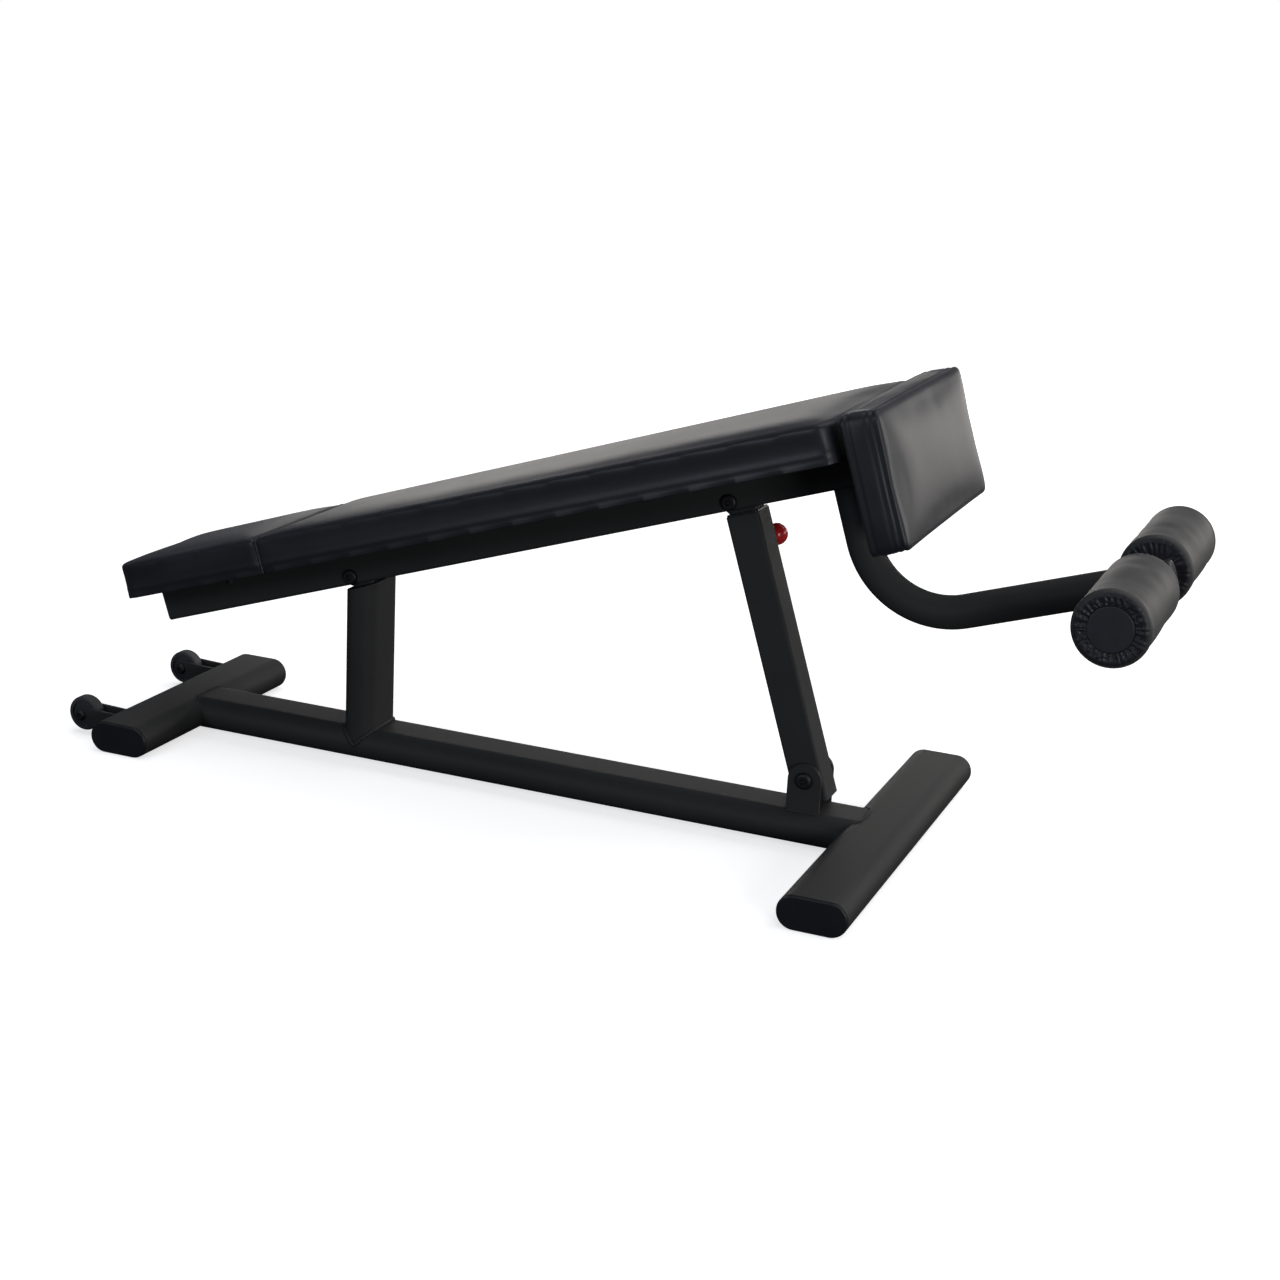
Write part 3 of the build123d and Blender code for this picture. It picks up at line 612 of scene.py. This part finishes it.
def long_cushion(name, node, low, high, corner_end):
    """One of the two cushions on the long board, with rounded corners at its free end."""
    rear_gap, front_gap = (skin_start, seam_gap) if corner_end == "rear" else (seam_gap, skin_start)
    seam_face = high.x if corner_end == "rear" else low.x
    inner_low = low + Vector((rear_gap, 0, -under_cover))
    inner_high = high - Vector((front_gap, 0, skin_start))

    def held(point):
        return point.z < low.z + 2 * MM or abs(point.x - seam_face) < 3 * MM

    def dress(point):
        """Pulls the cover in along the seam with small puckers and keeps the underside flat."""
        gap = abs(point.x - seam_face)
        puckers_at = Vector((point.y * pucker_scale, point.z * pucker_scale, seam_face * pucker_seed))
        pucker = noise.noise(puckers_at)
        draw = (seam_draw + seam_pucker * pucker) * MM * ridge(gap, seam_width)
        draw += shoulder_depth * ridge(gap - shoulder_place, shoulder_width)
        lift = (point.z - low.z) / (high.z - low.z)
        if lift > 0.5:
            point.z -= draw * min(1.0, 2 * (lift - 0.5))
        side = abs(point.y) / half_width_at(point.x)
        if side > 0.9:
            board_line = ridge(point.z - (low.z + board_line_height), board_line_width) * board_line_depth
            turned_under = ridge(point.z - low.z, turn_under_width) * turn_under_depth
            point.y += math.copysign(turned_under - board_line - draw * 0.6, point.y)
        if point.z < low.z + 2.5 * MM:
            point.z = low.z - under_cover
        return point

    cushion = long_blank(inner_low, inner_high, corner_end)
    inflate(cushion, low, high, half_width_at, pad_crown, held)
    shape_points(cushion, dress)
    settle(cushion, bench_to_world)
    smooth(cushion, cover_angle)
    add_piece(cushion, name, "bench", pad_vinyl, (node,))
    return cushion


head_cushion = long_cushion("head_cushion", "head_pad", head_low, head_high, "rear")
back_cushion = long_cushion("back_cushion", "back_pad", back_low, back_high, "front")

# Thigh cushion: a boxed cushion with a crowned front panel.
thigh_low, thigh_high = bench_box("thigh_pad")
thigh_middle = (thigh_low + thigh_high) / 2
thigh_size = thigh_high - thigh_low
thigh_corner = 13 * MM
thigh_rim = 6 * MM
thigh_crown = 8.0 * MM
# Each seam round the boxing band: its place, width and depth.
boxing_seams = (
    (thigh_high.x - 12 * MM, 2.4 * MM, 2.2 * MM),
    (thigh_high.x - 20 * MM, 1.8 * MM, 1.2 * MM),
    (thigh_low.x + 9 * MM, 2.4 * MM, 1.8 * MM),
)


def thigh_blank():
    """A block on the thigh board with its four corners and its front rim rounded."""
    bpy.ops.object.select_all(action="DESELECT")
    depth = thigh_size.x - skin_start + under_cover
    bpy.ops.mesh.primitive_cube_add(
        size=1.0,
        location=thigh_middle - Vector(((skin_start + under_cover) / 2, 0, 0)),
        scale=(depth, thigh_size.y - 2 * skin_start, thigh_size.z - 2 * skin_start),
    )
    blank = bpy.context.object
    settle(blank)
    bpy.ops.object.mode_set(mode="EDIT")
    bpy.ops.mesh.select_mode(type="EDGE")
    edit = bmesh.from_edit_mesh(blank.data)

    def through(edge):
        return abs(edge.verts[0].co.x - edge.verts[1].co.x) > 0.9 * thigh_size.x

    select_where(edit, edit.edges, through)
    bpy.ops.mesh.bevel(offset=thigh_corner, segments=5, affect="EDGES")
    edit = bmesh.from_edit_mesh(blank.data)
    front_x = thigh_high.x - skin_start - 0.1 * MM
    select_where(edit, edit.edges, lambda edge: all(vertex.co.x > front_x for vertex in edge.verts))
    bpy.ops.mesh.bevel(offset=thigh_rim, segments=4, affect="EDGES")
    bpy.ops.object.mode_set(mode="OBJECT")
    return blank


def box_thigh(point):
    """Seams round the boxing band, a welt between the front two, and a flat back."""
    across = max(abs(point.y) / thigh_high.y, abs(point.z - thigh_middle.z) / (thigh_size.z / 2))
    if across > 0.9:
        draw = sum(depth * ridge(point.x - place, width) for place, width, depth in boxing_seams)
        inward = Vector((0.0, -point.y / thigh_high.y, (thigh_middle.z - point.z) / (thigh_size.z / 2)))
        point += inward.normalized() * draw
    point.x = max(point.x, thigh_low.x - under_cover)
    return point


thigh_cushion = thigh_blank()
inflate(
    thigh_cushion,
    thigh_low,
    thigh_high,
    lambda along: thigh_high.y,
    thigh_crown,
    lambda point: point.x < thigh_low.x + 2 * MM,
)
shape_points(thigh_cushion, box_thigh)
settle(thigh_cushion, bench_to_world)
smooth(thigh_cushion, cover_angle)
add_piece(thigh_cushion, "thigh_cushion", "bench", pad_vinyl, ("thigh_pad",))


# ---------------------------------------------------------------- welt and stitches
def tube_along(name, points, radius, closed):
    """A solid round bar along a path of points."""
    curve = bpy.data.curves.new(name, "CURVE")
    curve.dimensions = "3D"
    curve.bevel_depth = radius
    curve.bevel_resolution = 3
    spline = curve.splines.new("POLY")
    spline.points.add(len(points) - 1)
    for target, point in zip(spline.points, points):
        target.co = (*point, 1.0)
    spline.use_cyclic_u = closed
    curve.use_fill_caps = not closed
    bar = bpy.data.objects.new(name, curve)
    bpy.context.scene.collection.objects.link(bar)
    only(bar)
    bpy.ops.object.convert(target="MESH")
    bar = bpy.context.object
    smooth(bar, cover_angle)
    return bar


# The cover's welt closes the seam between the head and back cushions.
welt_radius = 2.6 * MM
welt_corner = 8 * MM
welt_corner_steps = 6
welt_bow = 1.2 * MM
seam_x = (head_high.x + back_low.x) / 2
seam_half = half_width_at(seam_x) - 4.0 * MM
seam_top = back_high.z - 3.6 * MM


def welt_path():
    """From the underside up one side, over the top and down again, bowed a little on the way."""
    path = [
        Vector((seam_x, -seam_half, back_low.z - under_cover)),
        Vector((seam_x, -seam_half, seam_top - welt_corner)),
    ]
    for step in range(1, welt_corner_steps + 1):
        angle = step / welt_corner_steps * math.pi / 2
        y = -seam_half + welt_corner * (1 - math.cos(angle))
        z = seam_top - welt_corner + welt_corner * math.sin(angle)
        path.append(Vector((seam_x, y, z)))
    path += [Vector((point.x, -point.y, point.z)) for point in reversed(path)]
    for point in path:
        depth = min(1.0, (back_high.z - point.z) / (back_high.z - back_low.z))
        point.x += welt_bow * math.sin(math.pi * depth)
    return [bench_to_world @ point for point in path]


welt = tube_along("seam_welt", welt_path(), welt_radius, False)
# The welt takes the darker copy of the vinyl, painted shade in the seam.
add_piece(welt, "seam_welt", "bench", shaded_vinyl)

# Stitches along the seams: short lengths of thread that lie on the cover.
thread = vinyl("seam_thread", (0.012, 0.012, 0.013), 0.5, 60.0, 0.2 * MM)
stitch_pitch = 5.5 * MM
stitch_half_length = 1.9 * MM
stitch_half_width = 0.42 * MM
stitch_half_height = 0.36 * MM
stitch_lift = 0.15 * MM
stitch_dip = 0.25 * MM
# Rings of one stitch: share of its half length, and size.
stitch_rings = ((-1.0, 0.25), (-0.6, 0.9), (0.0, 1.0), (0.6, 0.9), (1.0, 0.25))
# A stitch's place on the cover is found from this far outside it.
probe = 0.1


def stitch_row(name, cushion, starts, towards, run_along):
    """One row of thread stitches, each a flattened six-sided bead half sunk into the cover."""
    build = bmesh.new()
    for start in starts:
        hit, place, normal, _ = cushion.ray_cast(world_point(*start), world_heading(towards))
        if not hit:
            continue
        run = world_heading(run_along)
        run = (run - normal * run.dot(normal)).normalized()
        side = normal.cross(run)
        rings = []
        for share, size in stitch_rings:
            rise = stitch_lift - stitch_dip * share * share
            centre = place + run * (share * stitch_half_length) + normal * rise
            ring = []
            for corner in range(6):
                angle = corner * math.pi / 3
                across = side * math.cos(angle) * stitch_half_width * size
                up = normal * math.sin(angle) * stitch_half_height * size
                ring.append(build.verts.new(centre + across + up))
            rings.append(ring)
        join_rings(build, rings)
        close_ends(build, rings)
    row = mesh_piece(name, build)
    smooth(row, cover_angle)
    add_piece(row, name, "bench", thread)


seam_stitch_gap = 9 * MM
seam_end_gap = 12 * MM
side_stitches = 7
side_stitch_start = 10 * MM
for name, cushion, offset in (
    ("head_seam_stitches", head_cushion, head_high.x - seam_stitch_gap),
    ("back_seam_stitches", back_cushion, back_low.x + seam_stitch_gap),
):
    half_width = half_width_at(offset)
    across_places = evenly(half_width - seam_end_gap, stitch_pitch)
    starts = [(offset, y, back_high.z + probe) for y in across_places]
    stitch_row(name, cushion, starts, (0, 0, -1), (0, 1, 0))
    for side, label in ((-1, "right"), (1, "left")):
        starts = [
            (offset, side * (half_width + probe), back_low.z + side_stitch_start + stitch_pitch * index)
            for index in range(side_stitches)
        ]
        stitch_row(name + "_" + label, cushion, starts, (0, -side, 0), (0, 0, 1))

thigh_seam_x = thigh_high.x - 16 * MM
thigh_stitch_gap = 22 * MM
across_places = evenly(thigh_high.y - thigh_stitch_gap, stitch_pitch)
upright_places = evenly(thigh_size.z / 2 - thigh_stitch_gap, stitch_pitch)
for label, side in (("top", 1), ("bottom", -1)):
    start_z = thigh_middle.z + side * (thigh_size.z / 2 + probe)
    starts = [(thigh_seam_x, y, start_z) for y in across_places]
    stitch_row("thigh_stitches_" + label, thigh_cushion, starts, (0, 0, -side), (0, 1, 0))
for label, side in (("right", -1), ("left", 1)):
    start_y = side * (thigh_high.y + probe)
    starts = [(thigh_seam_x, start_y, thigh_middle.z + up) for up in upright_places]
    stitch_row("thigh_stitches_" + label, thigh_cushion, starts, (0, -side, 0), (0, 0, 1))


# ---------------------------------------------------------------- underside of the boards
cambric = Shader("cambric")
weave = cambric.noise(scale=1300.0, detail=2.0, roughness=0.7)
fluff = cambric.noise(scale=35.0, detail=4.0, roughness=0.6)
cambric_black = cambric.surface(
    Base_Color=cambric.mix(fluff, (0.012, 0.012, 0.013), (0.026, 0.026, 0.027)),
    Roughness=0.85 + 0.1 * weave,
    Normal=cambric.bump(weave, 0.12 * MM, 0.5),
    Specular_IOR_Level=0.2,
)
cover_inset = 6.5 * MM
cover_thickness = 0.8 * MM
cover_corner = 24 * MM
cover_corner_steps = 8
cover_top = head_low.z - under_cover
# Rings of the cover's edge: its drop in thicknesses, and its inset in millimetres.
cover_rings = ((0.0, 0.0), (1.1, 0.0), (1.3, 0.4), (1.3, 7.0), (1.0, 8.0))


def cover_outline(rear, front):
    """Outline of the dust cover with its four corners rounded, seen from above."""
    outline = []
    for x, side, first in ((rear, -1, 180), (front, -1, 270), (front, 1, 0), (rear, 1, 90)):
        centre_x = x + (cover_corner if x == rear else -cover_corner)
        centre_y = side * (half_width_at(x) - cover_inset - cover_corner)
        for step in range(cover_corner_steps + 1):
            angle = math.radians(first + 90 * step / cover_corner_steps)
            corner_x = centre_x + cover_corner * math.cos(angle)
            corner_y = centre_y + cover_corner * math.sin(angle)
            outline.append((corner_x, corner_y))
    return outline


cover_edge = cover_outline(head_low.x + cover_inset, back_high.x - cover_inset)
board_middle_x = (head_low.x + back_high.x) / 2
build = bmesh.new()
rings = []
for drop, inset in cover_rings:
    ring = []
    for x, y in cover_edge:
        place_x = x - math.copysign(inset * MM, x - board_middle_x)
        place_y = y - math.copysign(inset * MM, y)
        ring.append(build.verts.new(world_point(place_x, place_y, cover_top - drop * cover_thickness)))
    rings.append(ring)
join_rings(build, rings)
close_ends(build, rings)
dust_cover = mesh_piece("dust_cover", build)
smooth(dust_cover, 30)
add_piece(dust_cover, "dust_cover", "bench", cambric_black)
cover_area = sum(
    first[0] * second[1] - second[0] * first[1]
    for first, second in zip(cover_edge, cover_edge[1:] + cover_edge[:1])
) / 2

staple_steel = steel("staple_steel", (0.20, 0.20, 0.21), 0.34)
staple_half_length = 5.0 * MM
staple_half_width = 0.55 * MM
staple_half_height = 0.3 * MM
# Rings of one staple: share of its half length, and height in millimetres.
staple_rings = ((-1.0, -0.5), (-0.92, 0.45), (0.92, 0.45), (1.0, -0.5))


def staple_line(name, places):
    """Wire staples that hold the turned-under cover, each a four-sided bridge along its run."""
    build = bmesh.new()
    outward = world_heading((0, 0, -1))
    for place, run in places:
        centre = world_point(*place)
        along = world_heading(run)
        side = outward.cross(along)
        rings = []
        for share, lift in staple_rings:
            ring = []
            for corner in range(4):
                angle = math.pi / 4 + corner * math.pi / 2
                up = outward * (lift * MM + math.sin(angle) * staple_half_height)
                across = side * (math.cos(angle) * staple_half_width)
                ring.append(build.verts.new(centre + along * (share * staple_half_length) + up + across))
            rings.append(ring)
        join_rings(build, rings)
        close_ends(build, rings)
    line = mesh_piece(name, build)
    add_piece(line, name, "bench", staple_steel)


staple_pitch = 34 * MM
staple_height = cover_top - 1.0 * MM
side_inset = 15 * MM
side_slope = 0.073
long_end_gap = 40 * MM
short_end_gap = 45 * MM
staples = []
count = int((back_high.x - head_low.x - 2 * long_end_gap) / staple_pitch)
for side in (-1, 1):
    for index in range(count + 1):
        x = head_low.x + long_end_gap + staple_pitch * index
        y = side * (half_width_at(x) - side_inset)
        staples.append(((x, y, staple_height), (1.0, side_slope * side, 0.0)))
for x in (head_low.x + side_inset, back_high.x - side_inset):
    for y in evenly(half_width_at(x) - short_end_gap, staple_pitch):
        staples.append(((x, y, staple_height), (0.0, 1.0, 0.0)))
staple_line("back_board_staples", staples)


# ---------------------------------------------------------------- foot rollers
roller_axis = Vector(joints["roller_right_spin"]["pos_m"])
roller_low, roller_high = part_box("foot_roller_right")
roller_radius = (roller_high.z - roller_low.z) / 2
roller_near = min(abs(roller_low.y), abs(roller_high.y))
roller_far = max(abs(roller_low.y), abs(roller_high.y))
cap_low, cap_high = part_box("roller_cap_right")
cap_radius = (cap_high.z - cap_low.z) / 2
sleeve_low, sleeve_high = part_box("roller_sleeve_right")
sleeve_radius = (sleeve_high.z - sleeve_low.z) / 2
roller_turn = 9 * MM
flat_radius = roller_radius - roller_turn
near_opening = sleeve_radius + 1.0 * MM
near_dish = 2.0 * MM
far_dish = 1.5 * MM
around = 240
end_steps = 9
turn_steps = 6
barrel_steps = 46
slack_scale = 1.4
slack_scale_along = 28
slack_swell = 0.9 * MM
slack_sink = 0.5 * MM
turn_pleat = 1.2 * MM
end_pleat = 3.4 * MM
# How far the painted shade reaches in from each end of a roller, and how far inside the barrel's rim it stops.
shaded_end_reach = 12 * MM
shaded_end_margin = 5.0 * MM
random.seed(7)
pleat_count = 30
pleat_phase = [random.uniform(-0.35, 0.35) for _ in range(pleat_count)]
pleat_depth = [random.uniform(0.55, 1.2) for _ in range(pleat_count)]


def pleat(angle, share):
    """Height of the gathered cover round a roller's end, about 0 in a fold and 1 on a pleat."""
    across, up = math.cos(angle), math.sin(angle)
    wander = 0.22 * noise.noise(Vector((across * 2.5, up * 2.5, share * 3.0)))
    place = (angle / (2 * math.pi) + 1.0) * pleat_count + wander
    index = int(place) % pleat_count
    part = place - int(place) + pleat_phase[index] * math.sin(math.pi * (place - int(place)))
    fold = pleat_depth[index] * math.sin(math.pi * min(max(part, 0.0), 1.0)) ** 2
    lumps = 0.5 + 0.8 * noise.noise(Vector((across * 8.0, up * 8.0, share * 4.0 + 3.0)))
    return 0.55 * fold + 0.5 * lumps


def roller_rows():
    """Rings of a roller's cover from its inner end to its outer: kind, place, radius, share of gathers."""
    rows = []
    for step in range(end_steps + 1):
        share = step / end_steps
        radius = near_opening + share * (flat_radius - near_opening)
        rows.append(("end", roller_near + near_dish * (1 - share), radius, share))
    for step in range(1, turn_steps + 1):
        angle = step / turn_steps * math.pi / 2
        along = roller_near + roller_turn * (1 - math.cos(angle))
        rows.append(("turn", along, flat_radius + roller_turn * math.sin(angle), 1.0 - step / turn_steps))
    barrel_length = roller_far - roller_near - 2 * roller_turn
    for step in range(1, barrel_steps):
        along = roller_near + roller_turn + barrel_length * step / barrel_steps
        rows.append(("barrel", along, roller_radius, 0.0))
    for step in range(turn_steps + 1):
        angle = (1 - step / turn_steps) * math.pi / 2
        along = roller_far - roller_turn * (1 - math.cos(angle))
        rows.append(("turn", along, flat_radius + roller_turn * math.sin(angle), step / turn_steps))
    for step in range(1, end_steps + 1):
        share = 1 - step / end_steps
        radius = cap_radius + share * (flat_radius - cap_radius)
        rows.append(("end", roller_far - far_dish * (1 - share), radius, share))
    return rows


def roller_ring(build, side, kind, along, radius, share):
    """One ring of the cover: slack on the barrel, pleated on the ends and round their turns."""
    outward = math.copysign(1.0, along - (roller_near + roller_far) / 2)
    ring = []
    for index in range(around):
        angle = 2 * math.pi * index / around
        across, up = math.cos(angle), math.sin(angle)
        reach = radius
        y = along
        if kind == "barrel":
            slack = noise.noise(Vector((across * slack_scale, up * slack_scale, along * slack_scale_along)))
            reach += slack_swell * slack - slack_sink
        elif kind == "turn":
            y += outward * (pleat(angle, share) - 0.5) * turn_pleat * share
        elif kind == "end":
            puff = math.sin(math.pi * min(1.0, max(share, 0.05)))
            y += outward * (pleat(angle, share) - 0.5) * end_pleat * (0.35 + 0.65 * puff)
        ring.append(build.verts.new((reach * up, side * y, reach * across)))
    return ring


def roller_skin(name, side, body, node):
    """Vinyl sleeve over foam: a slightly slack barrel whose ends are gathered round a disc and painted darker as
    shade.
    """
    build = bmesh.new()
    rings = [roller_ring(build, side, *row) for row in roller_rows()]
    near_wall = roller_ring(build, side, "wall", roller_near + 8 * MM, sleeve_radius + 0.2 * MM, 0.0)
    far_wall = roller_ring(build, side, "wall", roller_far - 7 * MM, cap_radius - 0.5 * MM, 0.0)
    join_rings(build, [near_wall, *rings, far_wall, near_wall])
    skin = mesh_piece(name, build)
    settle(skin, Matrix.Translation(Vector((roller_axis.x, 0.0, roller_axis.z))))
    apply_modifier(skin, "SUBSURF", levels=1, render_levels=1)
    smooth(skin, 180)
    add_piece(skin, name, body, roller_vinyl, (node,))
    skin.data.materials.append(shaded_vinyl)
    # The cover's ends, inside the barrel's rim, take the darker copy of the vinyl as painted shade.
    for polygon in skin.data.polygons:
        along = abs(polygon.center.y)
        radius = math.hypot(polygon.center.x - roller_axis.x, polygon.center.z - roller_axis.z)
        at_end = along < roller_near + shaded_end_reach or along > roller_far - shaded_end_reach
        if at_end and radius < roller_radius - shaded_end_margin:
            polygon.material_index = 1


roller_skin("roller_cushion_right", -1, "roller_right", "foot_roller_right")
roller_skin("roller_cushion_left", 1, "roller_left", "foot_roller_left")

# ---------------------------------------------------------------- weld beads
bead_step = 1.1 * MM
bead_ripple = 2.2 * MM


def resample(points, closed):
    """Points at a bead's even spacing along a path."""
    path = list(points) + ([points[0]] if closed else [])
    lengths = [0.0]
    for first, second in zip(path, path[1:]):
        lengths.append(lengths[-1] + (second - first).length)
    count = max(4, int(lengths[-1] / bead_step))
    result = []
    segment = 0
    for index in range(count if closed else count + 1):
        target = lengths[-1] * index / count
        while segment < len(path) - 2 and lengths[segment + 1] < target:
            segment += 1
        span = lengths[segment + 1] - lengths[segment]
        share = (target - lengths[segment]) / span if span else 0.0
        result.append(path[segment].lerp(path[segment + 1], share))
    return result


def weld_bead(name, body, path, radius, closed=False):
    """A weld bead along a path, with the small even ripples of its passes."""
    points = resample(path, closed)
    bead = tube_along(name, points, radius, closed)
    ripple = 2 * math.pi / bead_ripple
    for vertex in bead.data.vertices:
        nearest = min(points, key=lambda point: (point - vertex.co).length_squared)
        wave = 0.5 + 0.5 * math.sin(ripple * (nearest.x + nearest.y + nearest.z))
        vertex.co = nearest + (vertex.co - nearest) * (0.86 + 0.14 * wave)
    add_piece(bead, name, body, frame_paint)


post_low, post_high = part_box("rear_post")
post_x = (post_low.x + post_high.x) / 2
rail_low, rail_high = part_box("base_rail")
tube_round = (rail_high.z - rail_low.z) / 2
flat_half = (rail_high.y - rail_low.y) / 2 - tube_round
rail_middle_z = rail_low.z + tube_round


def rail_top(y):
    """Height of the flat-oval rail's upper surface at a place across it."""
    reach = max(0.0, abs(y) - flat_half)
    return rail_middle_z + math.sqrt(max(0.0, tube_round**2 - reach**2))


def bulge_at(z):
    """How far a flat-oval tube's round side stands out at a height."""
    return math.sqrt(max(0.0, tube_round**2 - (z - tube_round) ** 2))


# Post to rail: once round the post's foot, over the rail's rounded top.
post_steps = 96
path = []
for step in range(post_steps):
    angle = 2 * math.pi * step / post_steps
    x = tube_round * math.cos(angle)
    y = tube_round * math.sin(angle) + math.copysign(flat_half, math.sin(angle))
    path.append(Vector((post_x + x, y, rail_top(y) + 1.0 * MM)))
weld_bead("weld_post_base", "base", path, 3.8 * MM, closed=True)

# Rail to stabilisers: over the top and down both sides of the rail, as far as its middle height.
arc_steps = 40
arc_start = 0.06
arc_share = 0.88
for name, node, towards in (("front", "front_stabiliser", -1), ("rear", "rear_stabiliser", 1)):
    stabiliser_low, stabiliser_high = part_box(node)
    centre_x = (stabiliser_low.x + stabiliser_high.x) / 2
    flat_reach = (stabiliser_high.x - stabiliser_low.x) / 2 - tube_round
    path = []
    for step in range(arc_steps + 1):
        angle = math.pi * (arc_start + arc_share * step / arc_steps)
        across = math.cos(angle)
        on_flat_top = abs(across) < 0.02
        y = 0.0 if on_flat_top else math.copysign(flat_half, across) + tube_round * across
        z = rail_middle_z + tube_round * math.sin(angle)
        if z >= tube_round * 1.02:
            path.append(Vector((centre_x + towards * (flat_reach + bulge_at(z - rail_low.z)), y, z)))
    weld_bead("weld_rail_" + name, "base", path, 1.9 * MM)

# Ears to rail: one bead down each face of each ear.
for hand in ("right", "left"):
    ear_low, ear_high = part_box("clevis_ear_" + hand)
    side = math.copysign(1.0, ear_low.y + ear_high.y)
    inner, outer = sorted((abs(ear_low.y), abs(ear_high.y)))
    for label, reach in (("inner", inner), ("outer", outer)):
        height = rail_top(reach) + 0.6 * MM
        ends = (ear_low.x + 1 * MM, ear_high.x - 1 * MM)
        path = [Vector((x, side * reach, height)) for x in ends]
        weld_bead("weld_ear_" + hand + "_" + label, "base", path, 2.6 * MM)

# Wheel forks to rear stabiliser: one bead down each face of each fork plate.
rear_low, rear_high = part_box("rear_stabiliser")
rear_round_x = rear_low.x + tube_round
fork_plate = 5 * MM
fork_bead_foot = 12 * MM
fork_bead_length = 29 * MM
fork_steps = 8
for hand in ("right", "left"):
    fork_low, fork_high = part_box("wheel_fork_" + hand)
    faces = (fork_low.y, fork_low.y + fork_plate, fork_high.y - fork_plate, fork_high.y)
    for index, y in enumerate(faces):
        path = []
        for step in range(fork_steps + 1):
            z = fork_bead_foot + fork_bead_length * step / fork_steps
            path.append(Vector((rear_round_x - bulge_at(z), y, z)))
        weld_bead("weld_fork_" + hand + "_" + str(index), "base", path, 1.8 * MM)

# Beam to thigh plate: round three sides of the beam's front end.
beam_low, beam_high = bench_box("main_beam")
beam_end_x = beam_high.x - 0.5 * MM
beam_half = beam_high.y
beam_corner = 5 * MM
right_side = [
    (-beam_half, beam_low.z),
    (-beam_half, beam_high.z - beam_corner),
    (-beam_half + beam_corner, beam_high.z),
]
left_side = [(-y, z) for y, z in reversed(right_side)]
path = [world_point(beam_end_x, y, z) for y, z in right_side + left_side]
weld_bead("weld_thigh_plate", "bench", path, 2.4 * MM)

# Beam to cushion plates: one bead along each side of the beam under each plate.
for name in ("pad_plate_rear", "pad_plate_middle", "pad_plate_front"):
    plate_low, plate_high = bench_box(name)
    ends = (plate_low.x + 3 * MM, plate_high.x - 3 * MM)
    for label, side in (("right", -1), ("left", 1)):
        y = side * (beam_half - 1.5 * MM)
        path = [world_point(x, y, plate_low.z - 1.2 * MM) for x in ends]
        weld_bead("weld_" + name + "_" + label, "bench", path, 2.6 * MM)

# ---------------------------------------------------------------- floor and light
bpy.ops.object.select_all(action="DESELECT")
bpy.ops.mesh.primitive_plane_add(size=40.0, location=(0.0, 0.0, 0.0))
floor = bpy.context.object
floor.name = "floor"
floor_finish = Shader("floor_finish")
seen = floor_finish.node("ShaderNodeLightPath", output="Is Camera Ray")
floor.data.materials.append(
    floor_finish.surface(
        Base_Color=floor_finish.mix(seen, (0.07, 0.07, 0.075), (0.92, 0.92, 0.92)),
        Roughness=1.0,
        Specular_IOR_Level=0.0,
        Emission_Color=floor_finish.mix(seen, (0.0, 0.0, 0.0), (0.66, 0.66, 0.66)),
        Emission_Strength=1.0,
    )
)

world = bpy.data.worlds.new("studio")
bpy.context.scene.world = world
world.use_nodes = True
sky = world.node_tree
background = sky.nodes["Background"]
seen_sky = sky.nodes.new("ShaderNodeLightPath")
sky_mix = sky.nodes.new("ShaderNodeMix")
sky_mix.data_type = "RGBA"
sky_mix.inputs[MIX_FIRST].default_value = (0.075, 0.080, 0.105, 1.0)
sky_mix.inputs[MIX_SECOND].default_value = (1.0, 1.0, 1.0, 1.0)
sky.links.new(seen_sky.outputs["Is Camera Ray"], sky_mix.inputs["Factor"])
sky.links.new(sky_mix.outputs[MIX_RESULT], background.inputs["Color"])


def softbox(name, place, target, width, height, power, colour):
    """A rectangular area light that faces a point and isn't seen itself."""
    bpy.ops.object.select_all(action="DESELECT")
    bpy.ops.object.light_add(type="AREA", location=place)
    light = bpy.context.object
    light.name = name
    light.data.shape = "RECTANGLE"
    light.data.size = width
    light.data.size_y = height
    light.data.energy = power
    light.data.color = colour
    light.rotation_euler = (Vector(target) - Vector(place)).to_track_quat("-Z", "Y").to_euler()
    light.visible_camera = False


bpy.ops.object.select_all(action="DESELECT")
overhead_turn = (math.radians(-12.0), math.radians(14.0), 0.0)
bpy.ops.object.light_add(type="SUN", location=(0.0, 0.0, 4.0), rotation=overhead_turn)
overhead = bpy.context.object
overhead.name = "overhead"
overhead.data.energy = 1.2
overhead.data.angle = math.radians(75.0)
overhead.data.color = (1.0, 0.99, 0.97)
softbox("back", (-0.3, 4.2, 0.62), (0.0, 0.0, 0.5), 6.0, 0.6, 50.0, (1.0, 0.960, 0.90))
softbox("front_end", (3.4, 1.3, 1.3), (0.5, 0.0, 0.5), 1.4, 1.2, 38.0, (1.0, 0.98, 0.95))
softbox("fill_left", (-1.4, -3.4, 1.3), (0.1, 0.0, 0.25), 0.9, 0.9, 20.0, (0.80, 0.90, 1.0))
softbox("fill_right", (2.9, -2.9, 0.9), (0.1, 0.0, 0.3), 0.9, 0.9, 34.0, (0.97, 0.985, 1.0))
